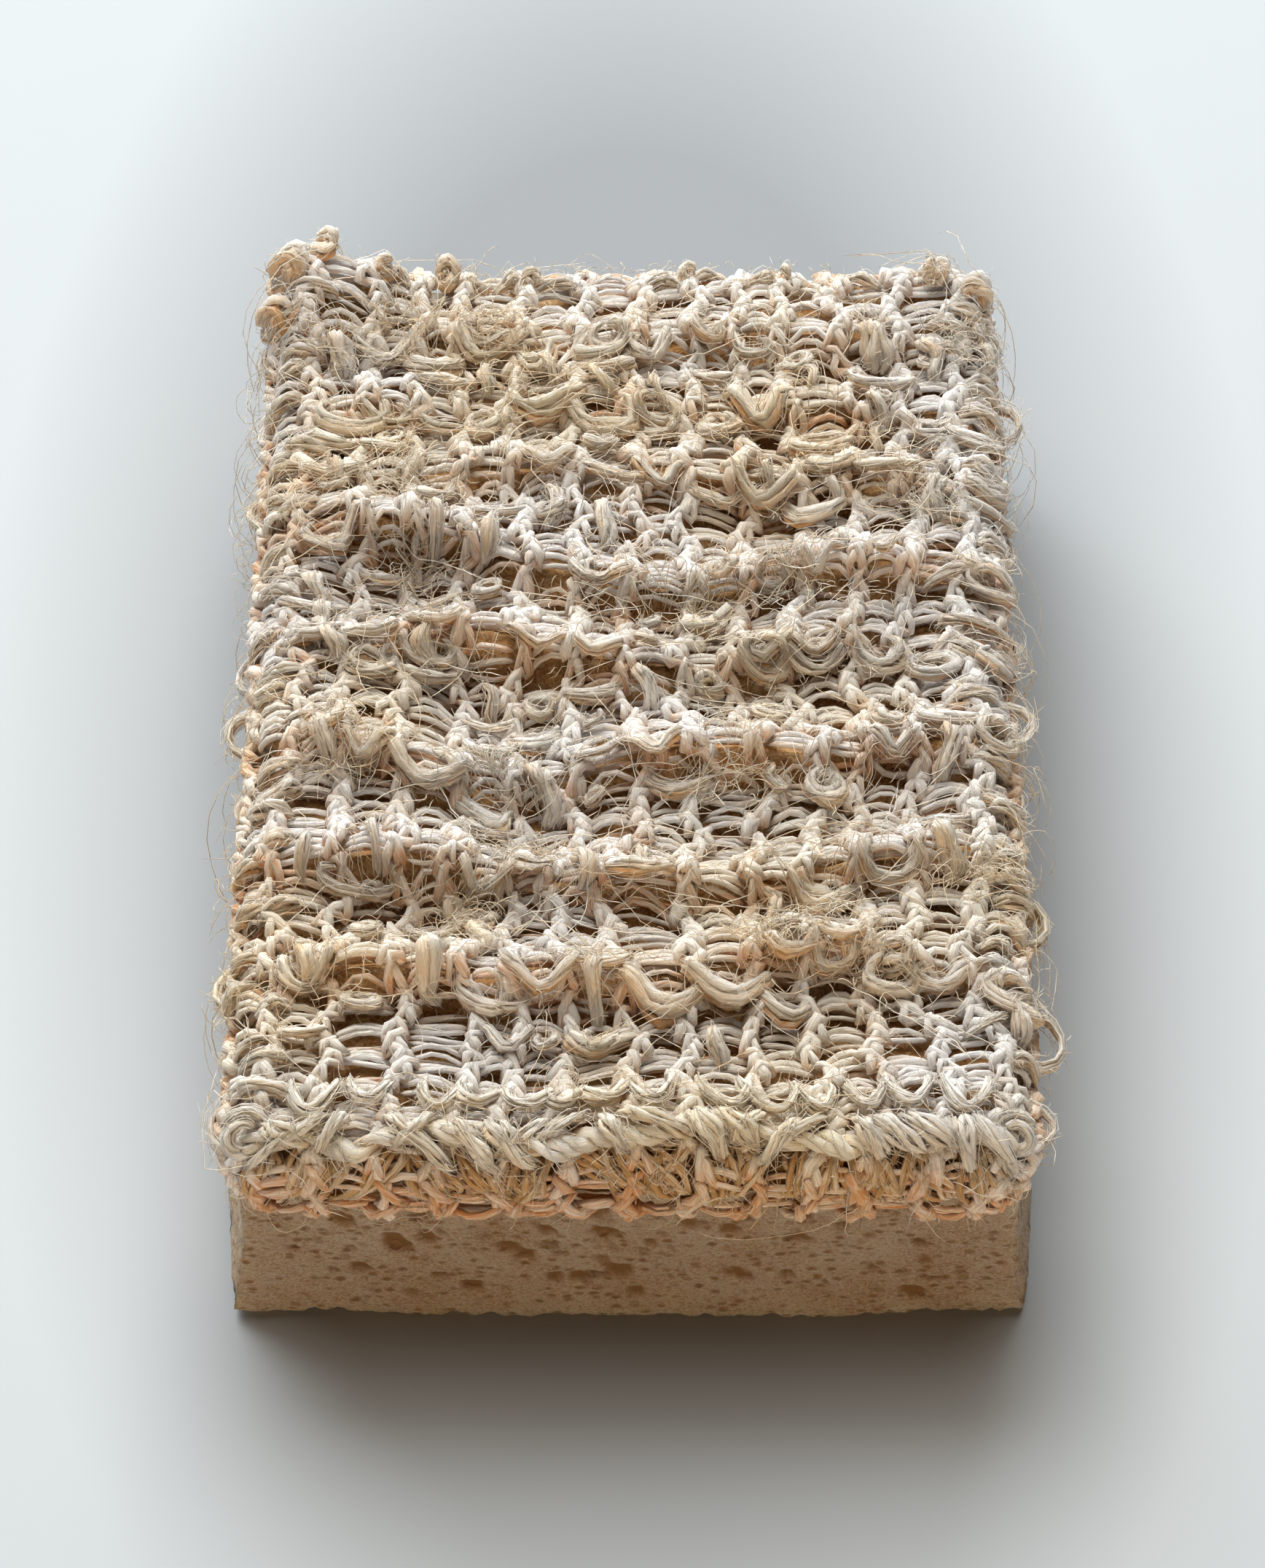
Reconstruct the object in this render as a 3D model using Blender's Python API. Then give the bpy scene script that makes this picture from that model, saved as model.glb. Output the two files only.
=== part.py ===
"""Scrub sponge: a cut cellulose block with a knitted bast-fibre scrub cloth bonded to its top.

The block flares a little towards its foot, as a dried sponge does, and has open pores in its cut
faces. The cloth is one piece: a ladder knit of plaited wales with rungs between them, which swells and
sags and falls in a step at each of its rows of thicker loose loops, and an edge that rolls over and
down round the block's top, fullest at both ends, where the knit begins and ends. Loops of its yarn
stand out along both long sides, and its back corners curl up.

Metres. X runs across the sponge, Y from its front to its back and Z up. The origin is on the surface
that the sponge stands on, under its middle.
"""

import math
import random

import bmesh
import bpy
from mathutils import Matrix, Vector

# Cellulose block
SPONGE_LENGTH = 0.114
SPONGE_WIDTH = 0.070
SPONGE_HEIGHT = 0.020
SPONGE_CORNER_RADIUS = 0.004
FOOT_FLARE = 0.0016
FOOT_CORNER_LIFT = 0.0009
FOOT_CORNER_REACH = 0.016
FLAT_FOOT_RADIUS = 0.0016

# Open pores in the block's cut faces
LARGE_PORE_WIDTH = 0.0030
SMALL_PORE_WIDTH = 0.0018
PORE_CELL_WIDTH = 0.0084
PORE_CELL_HEIGHT = 0.0054
FOOT_PORE_CELL = 0.0210
PORE_SHARE = 0.62
LARGE_PORE_SHARE = 0.35
PORE_FLATNESS = 0.66
PORE_DEPTH_RATIO = 0.90
PORE_SCATTER = 0.15

# Knitted cloth
CLOTH_CLEARANCE = 0.0003
CLOTH_THICKNESS = 0.0038
THINNEST_CLOTH = 0.0012
WALE_PITCH = 0.0054
WALE_WIDTH = 0.0021
WALE_HEIGHT = 0.0014
WALE_ZIGZAG = 0.0006
COURSE_PITCH = 0.0036
LADDER_DEPTH = 0.0014
PLAIT_DEPTH = 0.0007
SLUB_HEIGHT = 0.0018
SLUB_SAG = 0.0009
CORNER_CURL_HEIGHT = 0.0046
CORNER_CURL_REACH = 0.013
KNIT_EDGE = 0.0027

# How the cloth lies: swells, and a step down to the front at each row of loose loops
SWELL_HEIGHT = 0.00125
SWELL_SPREAD = 0.0418
SWELL_LENGTH = 0.0304
SWELL_SEED = 3
SINES = 5
SINE_FREQUENCIES = (0.7, 1.9)
SINES_TOGETHER = 3.2
STEP_FRONT = 0.0017
STEP_BACK = 0.0046
STEP_PLACES = (-0.034, -0.017, 0.0, 0.017, 0.034)
STEPPED_ROWS = (
    ((0.0465, 0.0480, 0.0485, 0.0475, 0.0465), 0.0014),
    ((0.0365, 0.0380, 0.0385, 0.0380, 0.0360), 0.0015),
    ((0.0265, 0.0280, 0.0290, 0.0270, 0.0255), 0.0019),
    ((0.0210, 0.0185, 0.0105, 0.0130, 0.0130), 0.0033),
    ((0.0015, 0.0050, -0.0005, 0.0035, 0.0050), 0.0021),
    ((-0.0090, -0.0145, -0.0130, -0.0125, -0.0090), 0.0028),
    ((-0.0255, -0.0265, -0.0297, -0.0275, -0.0240), 0.0029),
    ((-0.0395, -0.0405, -0.0415, -0.0370, -0.0400), 0.0028),
)

# Hollows between the rows: x, y, radius and depth
HOLLOWS = (
    (-0.021, 0.012, 0.0065, 0.0026),
    (-0.009, -0.021, 0.0065, 0.0026),
    (0.017, -0.045, 0.0050, 0.0012),
    (0.014, 0.024, 0.0070, 0.0014),
    (-0.020, -0.033, 0.0060, 0.0013),
    (0.010, 0.001, 0.0060, 0.0013),
    (0.024, -0.020, 0.0050, 0.0015),
    (-0.026, 0.046, 0.0050, 0.0018),
    (0.002, 0.034, 0.0060, 0.0012),
    (-0.014, -0.002, 0.0050, 0.0012),
    (0.026, 0.004, 0.0050, 0.0016),
)

# Rolled edge of the cloth
HEM_OVERHANG = 0.0030
HEM_ROLL_WIDTH = 0.0040
HEM_HEIGHT = 0.0092
HEM_DROP = 0.0018
HEM_BLEND = 0.0060
HEM_RIPPLE = 0.0004
END_FULLNESS = 0.0022
FULL_FROM = math.radians(40)
FULL_AT = math.radians(92)

# Loops of yarn along the long sides
LOOP_WIDTH = 0.0062
LOOP_YARN = 0.0015
LOOP_PITCH = 0.0125
LOOP_REACH = 0.0034
LOOP_SCATTER = 0.0016
LOWEST_LOOP_TILT = math.radians(-32)
HIGHEST_LOOP_TILT = math.radians(18)

# Facets
CORNER_STEPS = 4
WALL_STEPS = 3
HEM_STEPS = 4
LOOP_STEPS = 8
WIDE_PORE_SIDES = 8
PORE_SIDES = 6
PORE_RINGS = 4
YARN_SIDES = 4
COLUMNS_PER_WALE = 4
ROWS_PER_COURSE = 2

# Worked out from the sizes above
CORE_HALF_WIDTH = SPONGE_WIDTH / 2 - SPONGE_CORNER_RADIUS
CORE_HALF_LENGTH = SPONGE_LENGTH / 2 - SPONGE_CORNER_RADIUS
CREST_RADIUS = SPONGE_CORNER_RADIUS + HEM_OVERHANG - HEM_ROLL_WIDTH
SHEET_HALF_WIDTH = CORE_HALF_WIDTH + CREST_RADIUS
SHEET_HALF_LENGTH = CORE_HALF_LENGTH + CREST_RADIUS
HEM_FOOT_Z = SPONGE_HEIGHT - HEM_DROP
HEM_MIDDLE_Z = HEM_FOOT_Z + HEM_HEIGHT / 2
HEM_TOP_Z = HEM_FOOT_Z + HEM_HEIGHT
CLOTH_SEAT_Z = SPONGE_HEIGHT + CLOTH_CLEARANCE
CLOTH_FACE_Z = CLOTH_SEAT_Z + CLOTH_THICKNESS
LOWEST_FACE_Z = CLOTH_SEAT_Z + THINNEST_CLOTH
ROW_SPACING = COURSE_PITCH / ROWS_PER_COURSE
RIGHT_ANGLE = math.radians(90)


def clear_scene():
    for old in list(bpy.data.objects):
        bpy.data.objects.remove(old)


def principled(name, colour, roughness):
    material = bpy.data.materials.new(name)
    material.use_nodes = True
    shader = material.node_tree.nodes["Principled BSDF"]
    shader.inputs["Base Color"].default_value = (*colour, 1.0)
    shader.inputs["Roughness"].default_value = roughness
    shader.inputs["Metallic"].default_value = 0.0
    material.diffuse_color = (*colour, 1.0)
    return material


def add_object(name, bm, material):
    mesh = bpy.data.meshes.new(name)
    bm.normal_update()
    bm.to_mesh(mesh)
    bm.free()
    if material is not None:
        mesh.materials.append(material)
    made = bpy.data.objects.new(name, mesh)
    bpy.context.scene.collection.objects.link(made)
    return made


def add_helper(name, bm):
    helper = add_object(name, bm, None)
    helper.hide_render = True
    helper.display_type = "WIRE"
    return helper


def join_by_boolean(target, helper, operation):
    modifier = target.modifiers.new(helper.name, "BOOLEAN")
    modifier.operation = operation
    modifier.solver = "EXACT"
    modifier.object = helper


def smooth_step(share):
    share = max(0.0, min(1.0, share))
    return share * share * (3 - 2 * share)


# The plan of every ring is the block's core rectangle grown by a radius, so that wall, seat and hem agree.

def plan_outline(radius):
    """Points round the core rectangle grown by that radius, counter-clockwise from the right."""
    points = []
    for quarter, (side_x, side_y) in enumerate(((1, 1), (-1, 1), (-1, -1), (1, -1))):
        for step in range(CORNER_STEPS + 1):
            angle = RIGHT_ANGLE * (quarter + step / CORNER_STEPS)
            points.append((
                side_x * CORE_HALF_WIDTH + radius * math.cos(angle),
                side_y * CORE_HALF_LENGTH + radius * math.sin(angle),
            ))
    return points


def from_core(x, y):
    """The nearest point of the core rectangle, and the way out from it to (x, y)."""
    core = Vector((
        max(-CORE_HALF_WIDTH, min(CORE_HALF_WIDTH, x)),
        max(-CORE_HALF_LENGTH, min(CORE_HALF_LENGTH, y)),
    ))
    return core, Vector((x, y)) - core


def rounded_plan(x, y):
    """A point of a square-cornered plan, moved onto the round-cornered one."""
    core, out = from_core(x, y)
    if out.length < 1e-9:
        return Vector((x, y))
    return core + out * max(abs(out.x), abs(out.y)) / out.length


def add_ring(bm, points, height):
    return [bm.verts.new((x, y, height(x, y))) for x, y in points]


def bridge_rings(bm, lower, upper):
    for i in range(len(lower)):
        j = (i + 1) % len(lower)
        bm.faces.new((lower[i], lower[j], upper[j], upper[i]))


# Cellulose block

def wall_radius(z):
    """The block's plan radius at a height: the wall leans out towards its foot."""
    lean = 1 - max(0.0, min(1.0, z / SPONGE_HEIGHT))
    return SPONGE_CORNER_RADIUS + FOOT_FLARE * lean * lean


def foot_height(x, y):
    """The rim of the foot, which curls up only near its four corners."""
    to_corner = math.hypot(CORE_HALF_WIDTH - abs(x), CORE_HALF_LENGTH - abs(y))
    return FOOT_CORNER_LIFT * smooth_step(1 - to_corner / FOOT_CORNER_REACH)


def build_block():
    bm = bmesh.new()
    rings = [
        add_ring(bm, plan_outline(FLAT_FOOT_RADIUS), lambda x, y: 0.0),
        add_ring(bm, plan_outline(wall_radius(0.0)), foot_height),
    ]
    for step in range(1, WALL_STEPS + 1):
        z = SPONGE_HEIGHT * step / WALL_STEPS
        rings.append(add_ring(bm, plan_outline(wall_radius(z)), lambda x, y, z=z: z))
    for lower, upper in zip(rings, rings[1:]):
        bridge_rings(bm, lower, upper)
    bm.faces.new(list(reversed(rings[0])))
    bm.faces.new(rings[-1])
    return bm


def wall_pore_places(chance):
    """The middle, the way out, the way along and the width of each pore, one to a cell of the four walls."""
    margin = LARGE_PORE_WIDTH / 2
    rows = max(1, int((HEM_FOOT_Z - 2 * margin) / PORE_CELL_HEIGHT))
    row_height = (HEM_FOOT_Z - 2 * margin) / rows
    spare = max(0.0, PORE_CELL_WIDTH - LARGE_PORE_WIDTH) / 2 - PORE_SCATTER * LARGE_PORE_WIDTH
    walls = (
        (Vector((0, -1)), Vector((1, 0)), CORE_HALF_LENGTH, CORE_HALF_WIDTH),
        (Vector((0, 1)), Vector((-1, 0)), CORE_HALF_LENGTH, CORE_HALF_WIDTH),
        (Vector((1, 0)), Vector((0, 1)), CORE_HALF_WIDTH, CORE_HALF_LENGTH),
        (Vector((-1, 0)), Vector((0, -1)), CORE_HALF_WIDTH, CORE_HALF_LENGTH),
    )
    for out, along, core_distance, half_run in walls:
        columns = int(2 * half_run / PORE_CELL_WIDTH)
        for column in range(columns):
            for row in range(rows):
                if chance.random() > PORE_SHARE:
                    continue
                width = LARGE_PORE_WIDTH if chance.random() < LARGE_PORE_SHARE else SMALL_PORE_WIDTH
                width *= 1 - chance.uniform(0, 2 * PORE_SCATTER)
                run = (column + 0.5 - columns / 2) * PORE_CELL_WIDTH + chance.uniform(-spare, spare)
                z = margin + (row + 0.5 + chance.uniform(-PORE_SCATTER, PORE_SCATTER)) * row_height
                place = out * (core_distance + wall_radius(z)) + along * run
                yield Vector((*place, z)), Vector((*out, 0)), Vector((*along, 0)), width


def foot_pore_places(chance):
    """Pores in the flat of the foot, leaving its middle whole."""
    columns = int(2 * (CORE_HALF_WIDTH - LARGE_PORE_WIDTH) / FOOT_PORE_CELL)
    rows = int(2 * (CORE_HALF_LENGTH - LARGE_PORE_WIDTH) / FOOT_PORE_CELL)
    for column in range(columns):
        for row in range(rows):
            x = (column + 0.5 - columns / 2 + chance.uniform(-PORE_SCATTER, PORE_SCATTER)) * FOOT_PORE_CELL
            y = (row + 0.5 - rows / 2 + chance.uniform(-PORE_SCATTER, PORE_SCATTER)) * FOOT_PORE_CELL
            if math.hypot(x, y) > FOOT_PORE_CELL:
                yield Vector((x, y, 0)), Vector((0, 0, -1)), Vector((1, 0, 0)), LARGE_PORE_WIDTH


def build_pore_cutters():
    chance = random.Random(11)
    bm = bmesh.new()
    for place, out, along, width in [*wall_pore_places(chance), *foot_pore_places(chance)]:
        turn = Matrix((along, out.cross(along), out)).transposed().to_4x4()
        squash = Matrix.Diagonal((1.0, PORE_FLATNESS, PORE_DEPTH_RATIO, 1.0))
        wide = width > (LARGE_PORE_WIDTH + SMALL_PORE_WIDTH) / 2
        bmesh.ops.create_uvsphere(
            bm,
            u_segments=WIDE_PORE_SIDES if wide else PORE_SIDES,
            v_segments=PORE_RINGS,
            radius=width / 2,
            matrix=Matrix.Translation(place) @ turn @ squash,
        )
    return bm


# Knitted cloth

def wave(x, y, seed):
    """A smooth swell between about -1 and 1, from a few sines whose ways and phases come from the seed."""
    chance = random.Random(seed)
    total = 0.0
    for _ in range(SINES):
        angle = chance.uniform(0, math.pi)
        frequency = chance.uniform(*SINE_FREQUENCIES)
        phase = chance.uniform(0, 2 * math.pi)
        way = x * math.cos(angle) + y * math.sin(angle)
        total += math.sin(2 * math.pi * frequency * way + phase)
    return total / SINES_TOGETHER


def row_line(places_along, x):
    """Where a row of loose loops runs at x, between its places given from left to right."""
    x = max(STEP_PLACES[0], min(STEP_PLACES[-1], x))
    i = max(k for k in range(len(STEP_PLACES) - 1) if STEP_PLACES[k] <= x)
    share = (x - STEP_PLACES[i]) / (STEP_PLACES[i + 1] - STEP_PLACES[i])
    return places_along[i] + (places_along[i + 1] - places_along[i]) * share


def fold_height(x, y):
    """How far the lying cloth stands above its face: swells, the rows' steps and the hollows between them."""
    height = SWELL_HEIGHT * wave(x / SWELL_SPREAD, y / SWELL_LENGTH, SWELL_SEED)
    for places_along, rise in STEPPED_ROWS:
        away = y - row_line(places_along, x)
        height += rise * math.exp(-((away / (STEP_FRONT if away < 0 else STEP_BACK)) ** 2))
    for hollow_x, hollow_y, radius, depth in HOLLOWS:
        height -= depth * math.exp(-((math.hypot(x - hollow_x, y - hollow_y) / radius) ** 2))
    return height


def on_slub_row(x, y):
    return any(abs(y - row_line(places_along, x)) < ROW_SPACING / 2 for places_along, _ in STEPPED_ROWS)


def corner_curl(x, y):
    """How far the back corners curl up, the left one more than the right one."""
    to_corner = math.hypot(SHEET_HALF_WIDTH - abs(x), SHEET_HALF_LENGTH - y)
    height = CORNER_CURL_HEIGHT if x < 0 else CORNER_CURL_HEIGHT / 2
    return height * smooth_step(1 - to_corner / CORNER_CURL_REACH)


def stitch_shift(column, course, pitch):
    """How far across a grid column moves: two strands draw in to each wale, and wales zigzag by course."""
    gap = pitch - WALE_WIDTH
    zigzag = WALE_ZIGZAG if course % 2 == 0 else -WALE_ZIGZAG
    return (
        pitch / 8 - WALE_WIDTH / 2 + zigzag,
        WALE_WIDTH / 2 - pitch / 8 + zigzag,
        WALE_WIDTH / 2 + gap / 3 - 3 * pitch / 8,
        WALE_WIDTH / 2 + 2 * gap / 3 - 5 * pitch / 8,
    )[column % COLUMNS_PER_WALE]


def stitch_relief(column, row):
    """The height of the plain ladder knit: the two strands of a wale cross over, rungs and gaps alternate."""
    strand = column % COLUMNS_PER_WALE
    if strand < 2:
        return WALE_HEIGHT - (PLAIT_DEPTH if (strand + row) % 2 else 0.0)
    return 0.0 if row % ROWS_PER_COURSE == 0 else -LADDER_DEPTH


def build_cloth():
    chance = random.Random(5)
    wales = round(2 * SHEET_HALF_WIDTH / WALE_PITCH)
    courses = round(2 * SHEET_HALF_LENGTH / COURSE_PITCH)
    pitch = 2 * SHEET_HALF_WIDTH / wales
    columns, rows = COLUMNS_PER_WALE * wales, ROWS_PER_COURSE * courses
    bm = bmesh.new()
    bmesh.ops.create_grid(bm, x_segments=columns, y_segments=rows, size=0.5)
    for vert in bm.verts:
        column = round((vert.co.x + 0.5) * columns)
        row = round((vert.co.y + 0.5) * rows)
        course = row // ROWS_PER_COURSE
        x = 2 * SHEET_HALF_WIDTH * vert.co.x
        y = 2 * SHEET_HALF_LENGTH * vert.co.y
        from_edge = min(SHEET_HALF_WIDTH - abs(x), SHEET_HALF_LENGTH - abs(y))
        knit_share = smooth_step(from_edge / KNIT_EDGE)
        field_share = smooth_step(from_edge / HEM_BLEND)
        relief = stitch_relief(column, row)
        x += stitch_shift(column, course, pitch) * knit_share
        if column % COLUMNS_PER_WALE >= 2 and on_slub_row(x, y):
            relief = SLUB_HEIGHT * chance.uniform(0.5, 1.0)
            y -= SLUB_SAG * knit_share
        plan = rounded_plan(x, y)
        base = HEM_TOP_Z + (CLOTH_FACE_Z - HEM_TOP_Z) * field_share
        swell = fold_height(x, y) * (1 + 2 * field_share) / 3 + corner_curl(x, y)
        vert.co = (plan.x, plan.y, max(LOWEST_FACE_Z, base + swell + relief * knit_share))
    roll_hem(bm)
    bmesh.ops.recalc_face_normals(bm, faces=bm.faces)
    return bm


def boundary_loop(bm):
    """The sheet's outer vertices in order."""
    start = next(vert for vert in bm.verts if vert.is_boundary)
    ring, edge, vert = [start], None, start
    while True:
        edge = next(e for e in vert.link_edges if e.is_boundary and e is not edge)
        vert = edge.other_vert(vert)
        if vert is start:
            return ring
        ring.append(vert)


def hem_profile():
    """Plan radius, height, ripple and angle down the rolled edge, from its crest to the block's wall."""
    wall = SPONGE_CORNER_RADIUS + CLOTH_CLEARANCE
    last = math.acos(max(-1.0, min(1.0, (wall - CREST_RADIUS) / HEM_ROLL_WIDTH)))
    for step in range(1, HEM_STEPS + 1):
        angle = RIGHT_ANGLE - (RIGHT_ANGLE + last) * step / HEM_STEPS
        yield (
            CREST_RADIUS + HEM_ROLL_WIDTH * math.cos(angle),
            HEM_MIDDLE_Z + HEM_HEIGHT / 2 * math.sin(angle),
            HEM_RIPPLE if step < HEM_STEPS else 0.0,
            RIGHT_ANGLE - angle,
        )
    yield wall, CLOTH_SEAT_Z, 0.0, 0.0


def roll_hem(bm):
    """Rolls the sheet's edge out, down and in under itself, and closes it over the block."""
    ring = boundary_loop(bm)
    crest = []
    for vert in ring:
        core, out = from_core(vert.co.x, vert.co.y)
        crest.append((core, out.normalized(), vert.co.z - HEM_TOP_Z))
    for radius, z, ripple, turned in hem_profile():
        high = max(0.0, z - HEM_MIDDLE_Z) / (HEM_HEIGHT / 2)
        fullness = END_FULLNESS * smooth_step((turned - FULL_FROM) / (FULL_AT - FULL_FROM))
        lower = []
        for i, (core, out, rise) in enumerate(crest):
            fuller = fullness * abs(out.y)
            rippled = radius + (ripple if i % COLUMNS_PER_WALE < 2 else -ripple)
            plan = core + out * (rippled + fuller * math.sin(turned))
            lower.append(bm.verts.new((plan.x, plan.y, z + rise * high + fuller * math.cos(turned))))
        bridge_rings(bm, ring, lower)
        ring = lower
    bm.faces.new(ring)


def loop_places():
    """The middle, the tilt and the width of each loop that stands out of the long sides."""
    chance = random.Random(23)
    count = max(1, int(2 * CORE_HALF_LENGTH / LOOP_PITCH))
    for side in (1, -1):
        for i in range(count):
            width = LOOP_WIDTH * (1.0 if i == count // 2 else chance.uniform(0.8, 1.0))
            y = (i + 0.5) * 2 * CORE_HALF_LENGTH / count - CORE_HALF_LENGTH
            y += chance.uniform(-LOOP_SCATTER, LOOP_SCATTER)
            reach = LOOP_REACH * width / LOOP_WIDTH
            outermost = CORE_HALF_WIDTH + SPONGE_CORNER_RADIUS + HEM_OVERHANG + reach
            z = HEM_MIDDLE_Z + chance.uniform(-LOOP_SCATTER / 2, LOOP_SCATTER)
            tilt = chance.uniform(LOWEST_LOOP_TILT, HIGHEST_LOOP_TILT)
            yield Vector((side * (outermost - width / 2), y, z)), side * tilt, width


def build_loops():
    """Closed rings of yarn whose inner half is sunk in the rolled edge."""
    bm = bmesh.new()
    for place, tilt, width in loop_places():
        turn = Matrix.Translation(place) @ Matrix.Rotation(tilt, 4, "Y")
        upright = Matrix.Rotation(RIGHT_ANGLE, 4, "X") @ Matrix.Rotation(RIGHT_ANGLE / 2, 4, "Z")
        section = bmesh.ops.create_circle(
            bm,
            cap_ends=False,
            segments=YARN_SIDES,
            radius=LOOP_YARN / 2,
            matrix=turn @ Matrix.Translation(((width - LOOP_YARN) / 2, 0, 0)) @ upright,
        )["verts"]
        edges = list({edge for vert in section for edge in vert.link_edges})
        bmesh.ops.spin(
            bm,
            geom=section + edges,
            cent=place,
            axis=turn.to_3x3() @ Vector((0, 0, 1)),
            angle=math.radians(360),
            steps=LOOP_STEPS,
            use_merge=True,
        )
    bmesh.ops.remove_doubles(bm, verts=bm.verts, dist=1e-6)
    bmesh.ops.recalc_face_normals(bm, faces=bm.faces)
    return bm


def main():
    clear_scene()
    block = add_object("cellulose_sponge", build_block(), principled("cellulose", (0.62, 0.42, 0.25), 0.92))
    join_by_boolean(block, add_helper("pore_cutters", build_pore_cutters()), "DIFFERENCE")
    cloth = add_object("scrub_cloth", build_cloth(), principled("bast_knit", (0.80, 0.66, 0.47), 0.88))
    join_by_boolean(cloth, add_helper("side_loops", build_loops()), "UNION")


main()
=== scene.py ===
import math
import random

import bmesh
import bpy
import numpy as np
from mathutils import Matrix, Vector


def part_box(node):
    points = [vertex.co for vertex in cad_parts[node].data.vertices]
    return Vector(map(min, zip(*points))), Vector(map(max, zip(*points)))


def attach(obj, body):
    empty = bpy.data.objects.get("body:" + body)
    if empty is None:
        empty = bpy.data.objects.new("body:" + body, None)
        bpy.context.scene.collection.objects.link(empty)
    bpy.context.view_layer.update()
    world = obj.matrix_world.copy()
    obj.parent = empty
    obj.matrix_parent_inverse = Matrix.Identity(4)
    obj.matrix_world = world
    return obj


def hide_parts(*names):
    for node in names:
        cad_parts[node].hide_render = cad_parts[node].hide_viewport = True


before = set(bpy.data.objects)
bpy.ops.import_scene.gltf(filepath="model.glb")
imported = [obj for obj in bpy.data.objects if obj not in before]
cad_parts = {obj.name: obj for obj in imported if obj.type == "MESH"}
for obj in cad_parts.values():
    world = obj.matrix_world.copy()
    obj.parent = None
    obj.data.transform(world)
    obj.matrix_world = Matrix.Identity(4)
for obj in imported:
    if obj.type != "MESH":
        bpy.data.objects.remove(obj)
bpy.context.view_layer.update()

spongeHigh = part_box("cellulose_sponge")[1]
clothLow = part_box("scrub_cloth")[0]
mm = 0.001

# Everything that several pieces share: the block's plan and the way the cloth lies over it
block = {
    "cornerRadius": 4.0 * mm,
    "squareness": 8.0,          # 2 would make the corners quarter circles
    "footFlare": 1.6 * mm,      # the foot stands out this far past the top
    "footLift": 0.9 * mm,       # curl of the foot's corners
    "footReach": 16 * mm,
}
cloth = {
    "overhang": 2.2 * mm,       # of the surface that carries the yarn, past the block's top
    "sideTuck": 0.9 * mm,       # it lies closer at the sides and reaches further at front and back
    "endReach": 0.8 * mm,
    "endFullness": 2.2 * mm,    # front and back edge are this much fuller and hang lower
    "rollWidth": 4.0 * mm,
    "rollHeight": 9.2 * mm,
    "yarnDepth": 0.9 * mm,      # the yarn stands this far out of the surface that carries it
    "drift": 1.1 * mm,          # how far rows and wales wander
    "blend": 6.0 * mm,          # how far in from the crest the rolled edge dies away
    "thickness": 5.4 * mm,
    "walePitch": 5.4 * mm,
    "coursePitch": 3.4 * mm,
    "swell": 1.25 * mm,         # broad rise and fall of the whole cloth
    "swellAcross": 2.2 * 19 * mm,
    "swellAlong": 1.6 * 19 * mm,
    "sink": 0.7 * mm,           # brings the mean height back after the rows' rises
    "steps": 1.4,               # share of the rises and depths below
    "ridgeFront": 1.5 * mm,     # a row's step falls steeply to the front and gently to the back
    "ridgeBack": 4.6 * mm,
    "curlHeight": 4.6 * mm,     # back left corner, the right one has half
    "curlReach": 13 * mm,
    "rowPaintedShade": 0.55,            # how much painted shade darkens a row's front step, turning it golden
    "rollPaintedShadeStart": 0.28,          # share of the roll's length from which painted shade turns the yarn golden
    "rollPaintedShadeWidth": 0.35,
}
# Rows of loose thick loops, in mm: distance from the middle at five places across, and the cloth's rise
loopRowPlaces = (-34 * mm, -17 * mm, 0.0, 17 * mm, 34 * mm)
loopRows = (
    {"at": (46.5, 48.0, 48.5, 47.5, 46.5), "rise": 1.4},
    {"at": (36.5, 38.0, 38.5, 38.0, 36.0), "rise": 1.5},
    {"at": (26.5, 28.0, 29.0, 27.0, 25.5), "rise": 1.9},
    {"at": (21.0, 18.5, 10.5, 13.0, 13.0), "rise": 3.3},
    {"at": (1.5, 5.0, -0.5, 3.5, 5.0), "rise": 2.1},
    {"at": (-9.0, -14.5, -13.0, -12.5, -9.0), "rise": 2.8},
    {"at": (-25.5, -26.5, -29.7, -27.5, -24.0), "rise": 2.9},
    {"at": (-39.5, -40.5, -41.5, -37.0, -40.0), "rise": 2.8},
)
# Hollows between the rows: across, along, radius and depth, in mm
hollows = (
    (-21, 12, 6.5, 2.6), (-9, -21, 6.5, 2.6), (17, -45, 5, 1.2), (14, 24, 7, 1.4),
    (-20, -33, 6, 1.3), (10, 1, 6, 1.3), (24, -20, 5, 1.5), (-26, 46, 5, 1.8),
    (2, 34, 6, 1.2), (-14, -2, 5, 1.2), (26, 4, 5, 1.6),
)

coreX = spongeHigh.x - block["footFlare"] - block["cornerRadius"]
coreY = spongeHigh.y - block["footFlare"] - block["cornerRadius"]
blockTop = spongeHigh.z
clothCoreX = coreX - cloth["sideTuck"]
clothCoreY = coreY + cloth["endReach"]
crestRadius = block["cornerRadius"] + cloth["overhang"] - cloth["rollWidth"]
crestX = clothCoreX + crestRadius
crestY = clothCoreY + crestRadius
rollFootZ = clothLow.z
rollMiddleZ = rollFootZ + cloth["rollHeight"] / 2
rollTopZ = rollFootZ + cloth["rollHeight"]
faceZ = blockTop + cloth["thickness"]
rollAngle = math.radians(161)
rollRadius = (cloth["rollWidth"] + cloth["rollHeight"] / 2) / 2
rollLength = rollAngle * rollRadius
flatX = crestX + rollLength     # half the cloth's flat width
flatY = crestY + rollLength


def smoothStep(share):
    share = np.clip(share, 0.0, 1.0)
    return share * share * (3 - 2 * share)


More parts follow.
